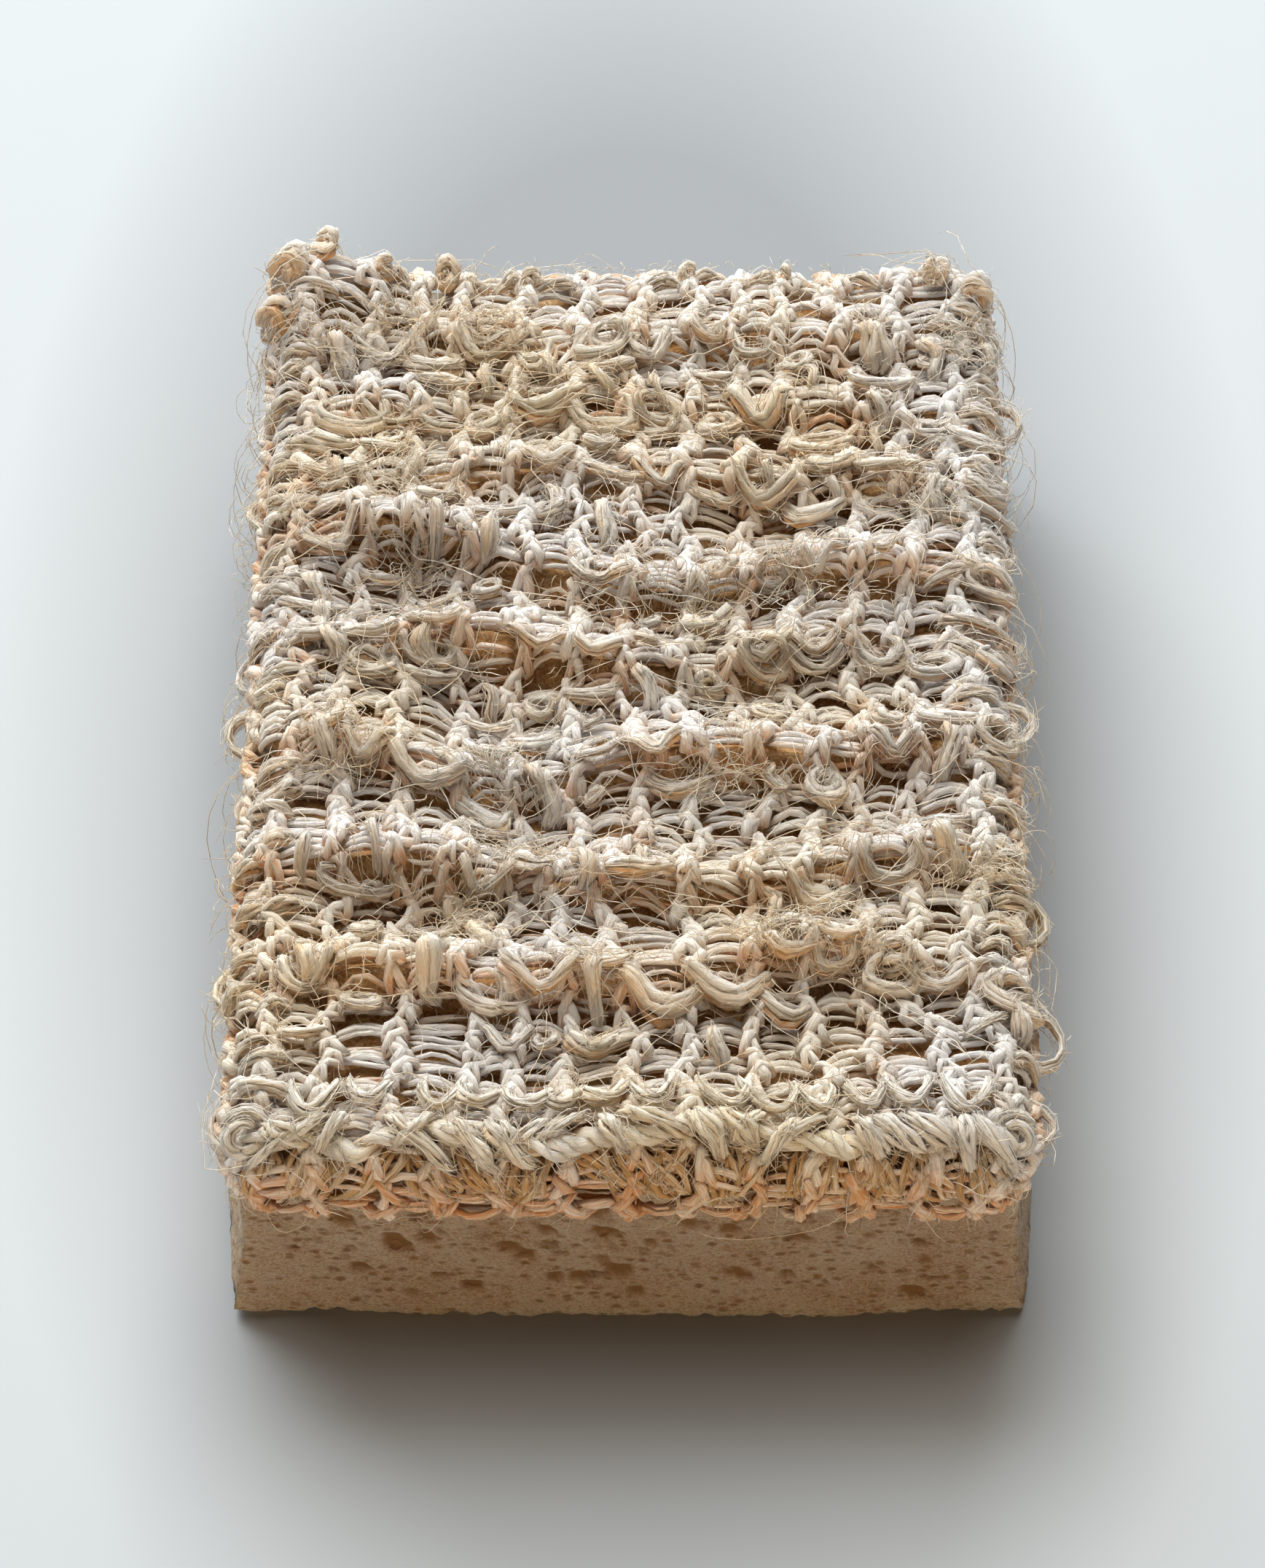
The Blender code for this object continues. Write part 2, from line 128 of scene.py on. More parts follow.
def wave(x, y, seed):
    # a smooth swell between about -1 and 1, from a few sines whose phases come from the seed
    chance = random.Random(seed)
    total = 0.0
    for k in range(5):
        angle = chance.uniform(0, math.pi)
        size = chance.uniform(0.7, 1.9)
        phase = chance.uniform(0, 2 * math.pi)
        total = total + np.sin(size * (x * math.cos(angle) + y * math.sin(angle)) * 2 * math.pi + phase)
    return total / 3.2


def loopRowY(row, u):
    return np.interp(u, loopRowPlaces, np.array(row["at"]) * mm)


def swell(u, v):
    # how far the lying cloth stands above its mean height
    height = cloth["swell"] * wave(u / cloth["swellAcross"], v / cloth["swellAlong"], 3) - cloth["sink"]
    for number, row in enumerate(loopRows):
        away = v - loopRowY(row, u)
        width = np.where(away < 0, cloth["ridgeFront"], cloth["ridgeBack"])
        uneven = 0.85 + 0.35 * wave(u / (30 * mm), np.full_like(u, 0.37 * number), 8)
        height = height + cloth["steps"] * row["rise"] * mm * uneven * np.exp(-(away / width) ** 2)
    for x, y, radius, depth in hollows:
        away = np.hypot(u - x * mm, v - y * mm) / (radius * mm)
        height = height - cloth["steps"] * depth * mm * np.exp(-away * away)
    return height


def shade(u, v):
    # painted shade: 1 on top of the cloth, less on a row's front step and under the rolled edge, which turns
    # the yarn there golden
    step = (swell(u, v + 0.4 * mm) - swell(u, v - 0.4 * mm)) / (0.8 * mm)
    under = np.maximum(np.abs(u) - crestX, np.abs(v) - crestY) / rollLength
    paintedShadeUnder = smoothStep((under - cloth["rollPaintedShadeStart"]) / cloth["rollPaintedShadeWidth"])
    return np.clip(1 - cloth["rowPaintedShade"] * np.clip(step, 0, 1) - paintedShadeUnder, 0.2, 1.0)


def cornerCurl(u, v):
    toCorner = np.hypot(crestX - np.abs(u), crestY - v)
    height = np.where(u < 0, cloth["curlHeight"], cloth["curlHeight"] / 2)
    return height * smoothStep(1 - toCorner / cloth["curlReach"])


def onCloth(u, v, lift):
    # a point of the flat cloth, lifted off its face, carried to where the cloth lies: level on the block,
    # then rolled out, down and in round its edge
    u, v, lift = np.broadcast_arrays(np.asarray(u, float), np.asarray(v, float), np.asarray(lift, float))
    u, v = (u + cloth["drift"] * wave(u / (41 * mm), v / (37 * mm), 5),
            v + cloth["drift"] * wave(u / (33 * mm), v / (52 * mm), 6))
    flatCoreX = np.clip(u, -clothCoreX, clothCoreX)
    flatCoreY = np.clip(v, -clothCoreY, clothCoreY)
    outX = u - flatCoreX
    outY = v - flatCoreY
    out = np.hypot(outX, outY)
    safe = np.maximum(out, 1e-9)
    wayX = outX / safe
    wayY = outY / safe
    turned = np.clip((out - crestRadius) / rollRadius, 0.0, rollAngle)
    toEdge = np.minimum(clothCoreX - np.abs(u), clothCoreY - np.abs(v))
    inside = np.where(out > 0, crestRadius - out, toEdge + crestRadius)
    field = smoothStep(inside / cloth["blend"])
    lift = lift - cloth["yarnDepth"] + cloth["endFullness"] * np.abs(wayY) * smoothStep((turned - 0.7) / 0.9)
    rise = swell(u, v) * (0.35 + 0.65 * field) + cornerCurl(u, v)
    radial = np.where(out > crestRadius, crestRadius + (cloth["rollWidth"] + lift) * np.sin(turned), out)
    levelZ = rollTopZ + (faceZ - rollTopZ) * field + rise + lift
    high = np.clip(np.cos(turned), 0.0, 1.0)
    rolledZ = rollMiddleZ + (cloth["rollHeight"] / 2 + lift) * np.cos(turned) + rise * high
    z = np.where(out > crestRadius, rolledZ, levelZ)
    return np.stack([flatCoreX + wayX * radial, flatCoreY + wayY * radial, z], axis=-1)


def smoothPath(points, count):
    # a smooth curve through a few points, with evenly spaced steps
    points = np.asarray(points, float)
    padded = np.vstack([2 * points[0] - points[1], points, 2 * points[-1] - points[-2]])
    steps = np.linspace(0, len(points) - 1, count)
    at = np.minimum(steps.astype(int), len(points) - 2)
    t = (steps - at)[:, None]
    a, b, c, d = padded[at], padded[at + 1], padded[at + 2], padded[at + 3]
    square, cube = 2 * a - 5 * b + 4 * c - d, 3 * b - a - 3 * c + d
    return 0.5 * (2 * b + (c - a) * t + square * t ** 2 + cube * t ** 3)


def layPath(corners, steps, start=(0.0, 0.0, 0.0)):
    # a smooth path on the flat cloth, carried to where the cloth lies
    flat = smoothPath(corners, steps) + np.array(start)
    return onCloth(flat[:, 0], flat[:, 1], flat[:, 2])


def addToScene(name, mesh, material):
    mesh.materials.clear()
    mesh.materials.append(material)
    made = bpy.data.objects.new(name, mesh)
    bpy.context.scene.collection.objects.link(made)
    mesh.shade_smooth()
    return made


def layYarn(name, strands, material, sides=6):
    # each strand is (points, radii, height from 0 deep to 1 on top, tone); the ends are drawn to a point.
    # The height sets painted shade deep down and painted light on top.
    curve = bpy.data.curves.new(name, "CURVE")
    curve.dimensions = "3D"
    curve.bevel_depth = mm
    curve.twist_mode = "MINIMUM"
    curve.use_fill_caps = False
    section = None
    if sides == 3:      # a hair has a three-cornered section
        profile = bpy.data.curves.new(name + "_section", "CURVE")
        profile.dimensions = "2D"
        ring = profile.splines.new("POLY")
        ring.points.add(2)
        for i, point in enumerate(ring.points):
            point.co = (mm * math.cos(i * 2 * math.pi / 3), mm * math.sin(i * 2 * math.pi / 3), 0, 1)
        ring.use_cyclic_u = True
        section = bpy.data.objects.new(name + "_section", profile)
        bpy.context.scene.collection.objects.link(section)
        curve.bevel_mode = "OBJECT"
        curve.bevel_object = section
    else:
        curve.bevel_resolution = (sides - 4) // 2
    for points, radii, height, tone in strands:
        spline = curve.splines.new("POLY")
        spline.points.add(len(points) - 1)
        weighted = np.column_stack([points, np.ones(len(points))])
        spline.points.foreach_set("co", weighted.astype(np.float32).ravel())
        drawn = np.broadcast_to(np.asarray(radii, float), (len(points),)).copy() / mm
        drawn[[0, -1]] = 0.0
        spline.points.foreach_set("radius", drawn.astype(np.float32))
    source = bpy.data.objects.new(name, curve)
    bpy.context.scene.collection.objects.link(source)
    graph = bpy.context.evaluated_depsgraph_get()
    mesh = bpy.data.meshes.new_from_object(source.evaluated_get(graph), depsgraph=graph)
    bpy.data.objects.remove(source)
    if section is not None:
        bpy.data.objects.remove(section)

    chance = np.random.default_rng(len(strands))
    around = np.arange(sides) * 2 * math.pi / sides
    fibre, heights, tones = [], [], []
    for points, radii, height, tone in strands:
        along = np.concatenate([[0.0], np.cumsum(np.linalg.norm(np.diff(points, axis=0), axis=1))])
        radii = np.broadcast_to(np.asarray(radii, float), (len(points),))
        start = chance.uniform(0, 1, 3)
        twist = around[None, :] + (along / yarnLook["twist"])[:, None]
        grain = np.stack([
            np.broadcast_to(along[:, None], twist.shape),
            radii[:, None] * np.cos(twist),
            radii[:, None] * np.sin(twist),
        ], axis=-1) + start
        fibre.append(grain.reshape(-1, 3))
        heights.append(np.repeat(np.broadcast_to(np.asarray(height, float), (len(points),)), sides))
        tones.append(np.full(len(points) * sides, tone))
    mesh.attributes.new("fibre", "FLOAT_VECTOR", "POINT").data.foreach_set(
        "vector", np.concatenate(fibre).astype(np.float32).ravel())
    mesh.attributes.new("height", "FLOAT", "POINT").data.foreach_set(
        "value", np.concatenate(heights).astype(np.float32))
    mesh.attributes.new("tone", "FLOAT", "POINT").data.foreach_set(
        "value", np.concatenate(tones).astype(np.float32))

    bm = bmesh.new()
    bm.from_mesh(mesh)
    bmesh.ops.remove_doubles(bm, verts=bm.verts, dist=1e-8)     # the ends close to points
    bmesh.ops.recalc_face_normals(bm, faces=bm.faces)
    bm.to_mesh(mesh)
    bm.free()
    made = addToScene(name, mesh, material)
    print(name, len(strands), "strands", sum(len(p.vertices) - 2 for p in mesh.polygons), "triangles")
    return made


# Camera, as the photograph was taken: from the front, well above, with a long lens
camera = bpy.data.objects.new("camera", bpy.data.cameras.new("camera"))
bpy.context.scene.collection.objects.link(camera)
view = {"place": (0.0007, -0.4417, 0.4461), "down": 44.61, "lens": 147.45}
camera.location = view["place"]
camera.rotation_euler = (math.radians(90 - view["down"]), 0, math.radians(0.07))
camera.data.lens = view["lens"]
camera.data.sensor_width = 36
camera.data.clip_start = 0.01
camera.data.clip_end = 20
bpy.context.scene.camera = camera
bpy.context.scene.view_settings.view_transform = "Standard"

# Light: one large soft lamp from behind and a little to the left, a weak one above that softens the shadow,
# a low warm one from the front, and a dim even sky
light = {"from": (-0.18, 0.74, 0.51), "distance": 1.7, "size": (1.77, 2.80), "power": 62.0,
         "colour": (0.945, 0.985, 1.0)}
ceiling = {"from": (-0.10, 0.33, 1.0), "distance": 1.2, "size": (1.3, 1.4), "power": 11.0,
           "colour": (1.0, 0.91, 0.78)}
fill = {"from": (0.05, -1.0, 0.09), "distance": 1.6, "size": (1.5, 0.28), "power": 11.5,
        "colour": (1.0, 0.73, 0.46)}
sky = {"strength": 0.009, "colour": (1.0, 0.61, 0.28), "seen": (0.62, 0.65, 0.67)}     # seen past the table


def addLamp(name, values):
    lamp = bpy.data.lights.new(name, "AREA")
    lamp.shape = "ELLIPSE"
    lamp.size, lamp.size_y = values["size"]
    lamp.energy = values["power"]
    lamp.color = values["colour"]
    made = bpy.data.objects.new(name, lamp)
    bpy.context.scene.collection.objects.link(made)
    way = Vector(values["from"]).normalized()
    made.location = way * values["distance"]
    made.rotation_euler = way.to_track_quat("Z", "Y").to_euler()


def addLight():
    addLamp("window", light)
    addLamp("ceiling", ceiling)
    addLamp("fill", fill)
    world = bpy.data.worlds.new("sky")
    world.use_nodes = True
    bpy.context.scene.world = world
    nodes, links = world.node_tree.nodes, world.node_tree.links
    nodes.clear()
    output = nodes.new("ShaderNodeOutputWorld")
    glow = addNode(nodes, "ShaderNodeBackground", {
        "Color": (*sky["colour"], 1), "Strength": sky["strength"]})
    seen = addNode(nodes, "ShaderNodeBackground", {"Color": (*sky["seen"], 1)})
    path = nodes.new("ShaderNodeLightPath")
    mix = nodes.new("ShaderNodeMixShader")
    direct = math2(nodes, links, "MAXIMUM", path.outputs["Is Camera Ray"], path.outputs["Is Glossy Ray"])
    direct = math2(nodes, links, "MAXIMUM", direct, path.outputs["Is Transmission Ray"])
    links.new(direct, mix.inputs["Fac"])
    links.new(glow.outputs["Background"], mix.inputs[1])
    links.new(seen.outputs["Background"], mix.inputs[2])
    links.new(mix.outputs["Shader"], output.inputs["Surface"])


def newMaterial(name):
    material = bpy.data.materials.new(name)
    material.use_nodes = True
    nodes = material.node_tree.nodes
    return material, nodes, material.node_tree.links, nodes["Principled BSDF"]


def addNode(nodes, kind, sockets):
    node = nodes.new(kind)
    for name, value in sockets.items():
        node.inputs[name].default_value = value
    return node


def readAttribute(nodes, name):
    node = nodes.new("ShaderNodeAttribute")
    node.attribute_name = name
    return node


def addBump(nodes, links, relief, distance, shader):
    bump = addNode(nodes, "ShaderNodeBump", {"Strength": 1.0, "Distance": distance})
    links.new(relief, bump.inputs["Height"])
    links.new(bump.outputs["Normal"], shader.inputs["Normal"])


def colourRamp(nodes, stops):
    ramp = nodes.new("ShaderNodeValToRGB")
    while len(ramp.color_ramp.elements) < len(stops):
        ramp.color_ramp.elements.new(0.5)
    for element, (place, colour) in zip(ramp.color_ramp.elements, stops):
        element.position = place
        element.color = (*colour, 1)
    return ramp


def math2(nodes, links, operation, a, b):
    node = nodes.new("ShaderNodeMath")
    node.operation = operation
    for socket, value in zip(node.inputs, (a, b)):
        if isinstance(value, (int, float)):
            socket.default_value = value
        else:
            links.new(value, socket)
    return node.outputs[0]


# the table's colour: painted shade darkens it round the block, and it is paler further off as painted light
tablePaintedShade = {
    "middle": (-0.012, 0.42),   # shift and squeeze, along the sponge's length, of the painted shade round the block
    "spread": (0.034, 0.066),   # where it starts to pale, and where it is palest
    "near": (0.315, 0.338, 0.368),
    "far": (0.555, 0.60, 0.64),
}


def floorMaterial():
    material, nodes, links, shader = newMaterial("table_painted_shade")
    coord = nodes.new("ShaderNodeTexCoord")
    away, squeeze = tablePaintedShade["middle"]
    centre = addNode(nodes, "ShaderNodeMapping", {"Scale": (1, squeeze, 0), "Location": (0, away, 0)})
    links.new(coord.outputs["Object"], centre.inputs["Vector"])
    distance = nodes.new("ShaderNodeVectorMath")
    distance.operation = "LENGTH"
    links.new(centre.outputs["Vector"], distance.inputs[0])
    near, far = tablePaintedShade["spread"]
    spread = addNode(nodes, "ShaderNodeMapRange", {"From Min": near, "From Max": far})
    links.new(distance.outputs["Value"], spread.inputs["Value"])
    # painted shade near the block, fading to the paler colour further off
    ramp = colourRamp(nodes, ((0.0, tablePaintedShade["near"]), (1.0, tablePaintedShade["far"])))
    links.new(spread.outputs["Result"], ramp.inputs["Fac"])
    links.new(ramp.outputs["Color"], shader.inputs["Base Color"])
    shader.inputs["Roughness"].default_value = 0.75
    shader.inputs["Specular IOR Level"].default_value = 0.05
    return material


def addFloor():
    bm = bmesh.new()
    bmesh.ops.create_grid(bm, x_segments=2, y_segments=2, size=3.0)
    mesh = bpy.data.meshes.new("table")
    bm.to_mesh(mesh)
    bm.free()
    addToScene("table", mesh, floorMaterial())


# Cellulose block
sponge = {
    "spacing": 0.52 * mm,
    "poresPerArea": 0.11,       # for each square millimetre of cut face
    "poreWidth": (0.7 * mm, 2.4 * mm),
    "poreFlatness": (0.34, 0.66),
    "poreDepth": 0.42,          # of the pore's width
    "crumple": 0.16 * mm,
    "bulge": 0.45 * mm,
    "ragged": 0.38 * mm,
    "raggedHeight": 2.2 * mm,   # of the foot, above which the wall is cut clean
    "cloudScale": 170,          # of the patches of colour, the fine grain and the small pores
    "grainScale": 2900,
    "cellScale": 720,
    "cellPore": (0.16, 0.44),   # a small pore is deepest up to the first distance and ends at the second
    "cellChosen": (0.48, 0.62),
    "bump": 0.8 * mm,
}


def spongeMaterial():
    material, nodes, links, shader = newMaterial("cellulose")
    coord = nodes.new("ShaderNodeTexCoord")
    stretch = addNode(nodes, "ShaderNodeMapping", {"Scale": (1, 1, 2.3), "Rotation": (0, 0.12, 0)})
    links.new(coord.outputs["Object"], stretch.inputs["Vector"])
    pore = readAttribute(nodes, "pore")

    cloud = addNode(nodes, "ShaderNodeTexNoise", {"Scale": sponge["cloudScale"], "Detail": 4})
    links.new(coord.outputs["Object"], cloud.inputs["Vector"])
    grain = addNode(nodes, "ShaderNodeTexNoise", {
        "Scale": sponge["grainScale"], "Detail": 5, "Roughness": 0.85})
    links.new(stretch.outputs["Vector"], grain.inputs["Vector"])
    cells = addNode(nodes, "ShaderNodeTexVoronoi", {"Scale": sponge["cellScale"], "Randomness": 1.0})
    links.new(stretch.outputs["Vector"], cells.inputs["Vector"])
    low, high = sponge["cellPore"]      # only the middle of a cell is a pore
    small = addNode(nodes, "ShaderNodeMapRange", {"From Min": low, "From Max": high})
    links.new(cells.outputs["Distance"], small.inputs["Value"])
    low, high = sponge["cellChosen"]    # and only in some of the cells
    chosen = addNode(nodes, "ShaderNodeMapRange", {"From Min": low, "From Max": high})
    split = nodes.new("ShaderNodeSeparateColor")
    links.new(cells.outputs["Color"], split.inputs["Color"])
    links.new(split.outputs["Red"], chosen.inputs["Value"])
    fine = math2(nodes, links, "MAXIMUM", small.outputs["Result"], chosen.outputs["Result"])

    tint = math2(nodes, links, "MULTIPLY", cloud.outputs["Fac"], 0.5)
    tint = math2(nodes, links, "ADD", tint, math2(nodes, links, "MULTIPLY", grain.outputs["Fac"], 2.4))
    tint = math2(nodes, links, "SUBTRACT", tint, 0.85)
    base = colourRamp(nodes, (
        (0.34, (0.60, 0.38, 0.215)),
        (0.60, (0.88, 0.67, 0.475)),
        (0.86, (1.0, 0.87, 0.71)),
    ))
    links.new(tint, base.inputs["Fac"])
    # painted shade inside the pores: the pore attribute and the small cells darken the colour
    paintedPoreShade = nodes.new("ShaderNodeMix")
    paintedPoreShade.data_type = "RGBA"
    paintedPoreShade.inputs["B"].default_value = (0.48, 0.26, 0.11, 1)
    links.new(base.outputs["Color"], paintedPoreShade.inputs["A"])
    open_ = math2(nodes, links, "SUBTRACT", 1.0, fine)
    open_ = math2(nodes, links, "MULTIPLY", open_, 0.85)
    open_ = math2(nodes, links, "MAXIMUM", open_, pore.outputs["Fac"])
    links.new(open_, paintedPoreShade.inputs["Factor"])
    links.new(paintedPoreShade.outputs["Result"], shader.inputs["Base Color"])

    relief = math2(nodes, links, "ADD", grain.outputs["Fac"], math2(nodes, links, "MULTIPLY", fine, 1.2))
    addBump(nodes, links, relief, sponge["bump"], shader)
    shader.inputs["Roughness"].default_value = 0.9
    shader.inputs["Specular IOR Level"].default_value = 0.2
    shader.inputs["Subsurface Weight"].default_value = 0.25
    shader.inputs["Subsurface Radius"].default_value = (0.0022, 0.0011, 0.0005)
    shader.inputs["Subsurface Scale"].default_value = 1.0
    return material


def roundedPlan(x, y, radius):
    # carries a square-cornered plan to one with cut, slightly rounded corners, that far past the core
    coreAtX = np.clip(x, -coreX, coreX)
    coreAtY = np.clip(y, -coreY, coreY)
    outX, outY = x - coreAtX, y - coreAtY
    out = np.maximum((np.abs(outX) ** block["squareness"] + np.abs(outY) ** block["squareness"])
                     ** (1 / block["squareness"]), 1e-9)
    reach = np.maximum(np.abs(outX), np.abs(outY)) * radius / block["cornerRadius"]
    return coreAtX + outX / out * reach, coreAtY + outY / out * reach, outX / out, outY / out


def buildSponge():
    halfX, halfY = coreX + block["cornerRadius"], coreY + block["cornerRadius"]
    layers = round(blockTop / sponge["spacing"])
    bm = bmesh.new()
    bmesh.ops.create_grid(bm, x_segments=round(halfX / sponge["spacing"]),
                          y_segments=round(halfY / sponge["spacing"]), size=1.0)
    bmesh.ops.scale(bm, vec=(halfX, halfY, 1), verts=bm.verts)
    bmesh.ops.subdivide_edges(bm, edges=[edge for edge in bm.edges if edge.is_boundary], cuts=1)
    rim = [edge for edge in bm.edges if edge.is_boundary]
    for layer in range(layers):
        grown = bmesh.ops.extrude_edge_only(bm, edges=rim)["geom"]
        verts = [item for item in grown if isinstance(item, bmesh.types.BMVert)]
        fresh = set(verts)
        rim = [item for item in grown if isinstance(item, bmesh.types.BMEdge) and set(item.verts) <= fresh]
        bmesh.ops.translate(bm, vec=(0, 0, blockTop / layers), verts=verts)
    bmesh.ops.edgeloop_fill(bm, edges=rim)
    bmesh.ops.recalc_face_normals(bm, faces=bm.faces)
    mesh = bpy.data.meshes.new("sponge_block")
    bm.to_mesh(mesh)
    bm.free()

    place = np.empty(len(mesh.vertices) * 3)
    mesh.vertices.foreach_get("co", place)
    place = place.reshape(-1, 3)
    rawX, rawY, rawZ = place.T.copy()
    lean = 1 - np.clip(rawZ / blockTop, 0, 1)
    x, y, outX, outY = roundedPlan(rawX, rawY, block["cornerRadius"] + block["footFlare"] * lean ** 2)
    z = rawZ.copy()
    onRim = (np.abs(rawX) > halfX - 1e-6) | (np.abs(rawY) > halfY - 1e-6)
    inFoot = ~onRim
    run = np.where(np.abs(outX) > np.abs(outY), y, x)      # how far along the wall

    # pores: squashed hollows, wider than they are high
    chance = random.Random(41)
    sunk = np.zeros(len(x))
    faces = (
        ("y", -1, 2 * coreX, 1.5), ("y", 1, 2 * coreX, 1.2),
        ("x", 1, 2 * coreY, 1.2), ("x", -1, 2 * coreY, 1.2), ("z", 0, 0, 1.0),
    )
    for axis, side, length, share in faces:
        area = (2 * coreX * 2 * coreY if axis == "z" else length * blockTop) / mm ** 2
        for i in range(int(area * sponge["poresPerArea"] * share)):
            wide = chance.uniform(0, 1) ** 3.6
            width = sponge["poreWidth"][0] + wide * (sponge["poreWidth"][1] - sponge["poreWidth"][0])
            flat = chance.uniform(*sponge["poreFlatness"])
            depth = sponge["poreDepth"] * width * chance.uniform(0.5, 1.0)
            tilt = math.radians(chance.uniform(-22, 14))
            if axis == "z":
                alongA, alongB = x - chance.uniform(-coreX, coreX), y - chance.uniform(-coreY, coreY)
                near = inFoot
            else:
                height = blockTop * (0.06 + 0.88 * chance.uniform(0, 1) ** 0.75)
                alongA = (x if axis == "y" else y) - chance.uniform(-length / 2, length / 2)
                alongB = z - height
                near = onRim & ((outY if axis == "y" else outX) * side > 0.9)
            a = (alongA * math.cos(tilt) + alongB * math.sin(tilt)) / (width / 2)
            b = (alongB * math.cos(tilt) - alongA * math.sin(tilt)) / (width / 2 * flat)
            away = a * a + b * b
            cut = np.where(near & (away < 1.5), depth * np.sqrt(np.clip(1 - away / 1.5, 0, 1)), 0)
            sunk = np.maximum(sunk, cut)

    # the torn, crumpled skin of the cut, and the ragged edge of the foot
    crumple = sponge["crumple"] * (
        wave(run / (5.5 * mm), z / (1.7 * mm), 12) + 0.7 * wave(run / (2.3 * mm), z / (0.9 * mm), 13))
    bulge = sponge["bulge"] * wave(run / (46 * mm), z / (30 * mm), 14)
    push = np.where(onRim, crumple + bulge - sunk, 0)
    x, y = x + outX * push, y + outY * push
    toCorner = np.hypot(coreX - np.abs(rawX), coreY - np.abs(rawY))
    curl = block["footLift"] * smoothStep(1 - toCorner / block["footReach"])
    toRim = np.maximum(0, np.minimum(halfX - np.abs(rawX), halfY - np.abs(rawY)))
    nearRim = smoothStep(1 - toRim / (5 * mm))
    tear = wave(run / (7 * mm), outX + 2 * outY, 15) + 0.8 * wave(run / (2.1 * mm), outX, 16)
    tear = np.clip(tear, 0, None)
    z = z + curl * np.where(onRim, 1 - rawZ / blockTop, nearRim)
    z = z + np.where(onRim, sponge["ragged"] * tear * smoothStep(1 - rawZ / sponge["raggedHeight"]), 0)
    z = z + np.where(inFoot, 0.75 * sunk, 0)
    z = np.maximum(z, 0.0)
    mesh.vertices.foreach_set("co", np.column_stack([x, y, z]).ravel())
    # pore depth at which the painted shade is full
    darkest = sponge["poreDepth"] * sponge["poreWidth"][1] * 0.35
    mesh.attributes.new("pore", "FLOAT", "POINT").data.foreach_set(
        "value", np.clip(sunk / darkest, 0, 1).astype(np.float32))
    mesh.update()
    print("sponge_block", sum(len(p.vertices) - 2 for p in mesh.polygons), "triangles")
    return addToScene("sponge_block", mesh, spongeMaterial())


# Knitted cloth
yarnLook = {
    "twist": 2.6 * mm,          # of the fibres, along the yarn for each radian
    "fibreScale": 4200,
    "fibreStretch": 0.09,       # the grain is this much longer along the yarn
    "patchScale": 95,
    "regionScale": 42,          # some parts of the cloth are yellower than others
    "regionTint": (1.0, 0.925, 0.79),
    "bump": 0.4 * mm,
    "spread": (0.0005, 0.0005, 0.0006),     # of light inside the fibres
}


def yarnMaterial(name, deep, middle, top, glow=0.35, streaks=0.22):
    # bast yarn: painted shade, golden, where it lies deep or is thin, and painted light, near white, where
    # it lies on top
    material, nodes, links, shader = newMaterial(name)
    fibre, height, tone = (readAttribute(nodes, item) for item in ("fibre", "height", "tone"))
    coord = nodes.new("ShaderNodeTexCoord")

    stretch = addNode(nodes, "ShaderNodeMapping", {"Scale": (yarnLook["fibreStretch"], 1, 1)})
    links.new(fibre.outputs["Vector"], stretch.inputs["Vector"])
    grain = addNode(nodes, "ShaderNodeTexNoise", {
        "Scale": yarnLook["fibreScale"], "Detail": 3, "Roughness": 0.7, "Distortion": 0.6})
    links.new(stretch.outputs["Vector"], grain.inputs["Vector"])
    patch = addNode(nodes, "ShaderNodeTexNoise", {"Scale": yarnLook["patchScale"], "Detail": 3})
    links.new(coord.outputs["Object"], patch.inputs["Vector"])

    # the height attribute paints shade low down and light on top; tone, grain and patches are the yarn's own
    # colour
    level = math2(nodes, links, "MULTIPLY", height.outputs["Fac"], 0.55)
    level = math2(nodes, links, "ADD", level, math2(nodes, links, "MULTIPLY", tone.outputs["Fac"], streaks))
    level = math2(nodes, links, "ADD", level, grain.outputs["Fac"])
    level = math2(nodes, links, "ADD", level, math2(nodes, links, "MULTIPLY", patch.outputs["Fac"], 0.30))
    level = math2(nodes, links, "SUBTRACT", level, 0.35)
    ramp = colourRamp(nodes, ((0.34, deep), (0.64, middle), (0.92, top)))
    links.new(level, ramp.inputs["Fac"])
    region = addNode(nodes, "ShaderNodeTexNoise", {"Scale": yarnLook["regionScale"], "Detail": 2})
    links.new(coord.outputs["Object"], region.inputs["Vector"])
    chosen = addNode(nodes, "ShaderNodeMapRange", {"From Min": 0.42, "From Max": 0.62})
    links.new(region.outputs["Fac"], chosen.inputs["Value"])
    yellow = nodes.new("ShaderNodeMix")
    yellow.data_type = "RGBA"
    yellow.blend_type = "MULTIPLY"
    yellow.inputs["B"].default_value = (*yarnLook["regionTint"], 1)
    links.new(chosen.outputs["Result"], yellow.inputs["Factor"])
    links.new(ramp.outputs["Color"], yellow.inputs["A"])
    links.new(yellow.outputs["Result"], shader.inputs["Base Color"])

    addBump(nodes, links, grain.outputs["Fac"], yarnLook["bump"], shader)
    shader.inputs["Roughness"].default_value = 0.8
    shader.inputs["Specular IOR Level"].default_value = 0.2
    shader.inputs["Sheen Weight"].default_value = 0.08
    shader.inputs["Sheen Roughness"].default_value = 0.4
    shader.inputs["Subsurface Weight"].default_value = glow
    shader.inputs["Subsurface Radius"].default_value = yarnLook["spread"]
    shader.inputs["Subsurface Scale"].default_value = 1.0
    return material


ground = {
    "spacing": 1.25 * mm,
    "depth": 1.7 * mm,          # under the cloth's face
    "edgeDepth": 1.1 * mm,      # the same on the rolled edge
    "thickness": 0.6 * mm,
    "dimple": 0.35 * mm,
    "hairScale": 1300,
    "bump": 0.6 * mm,
}


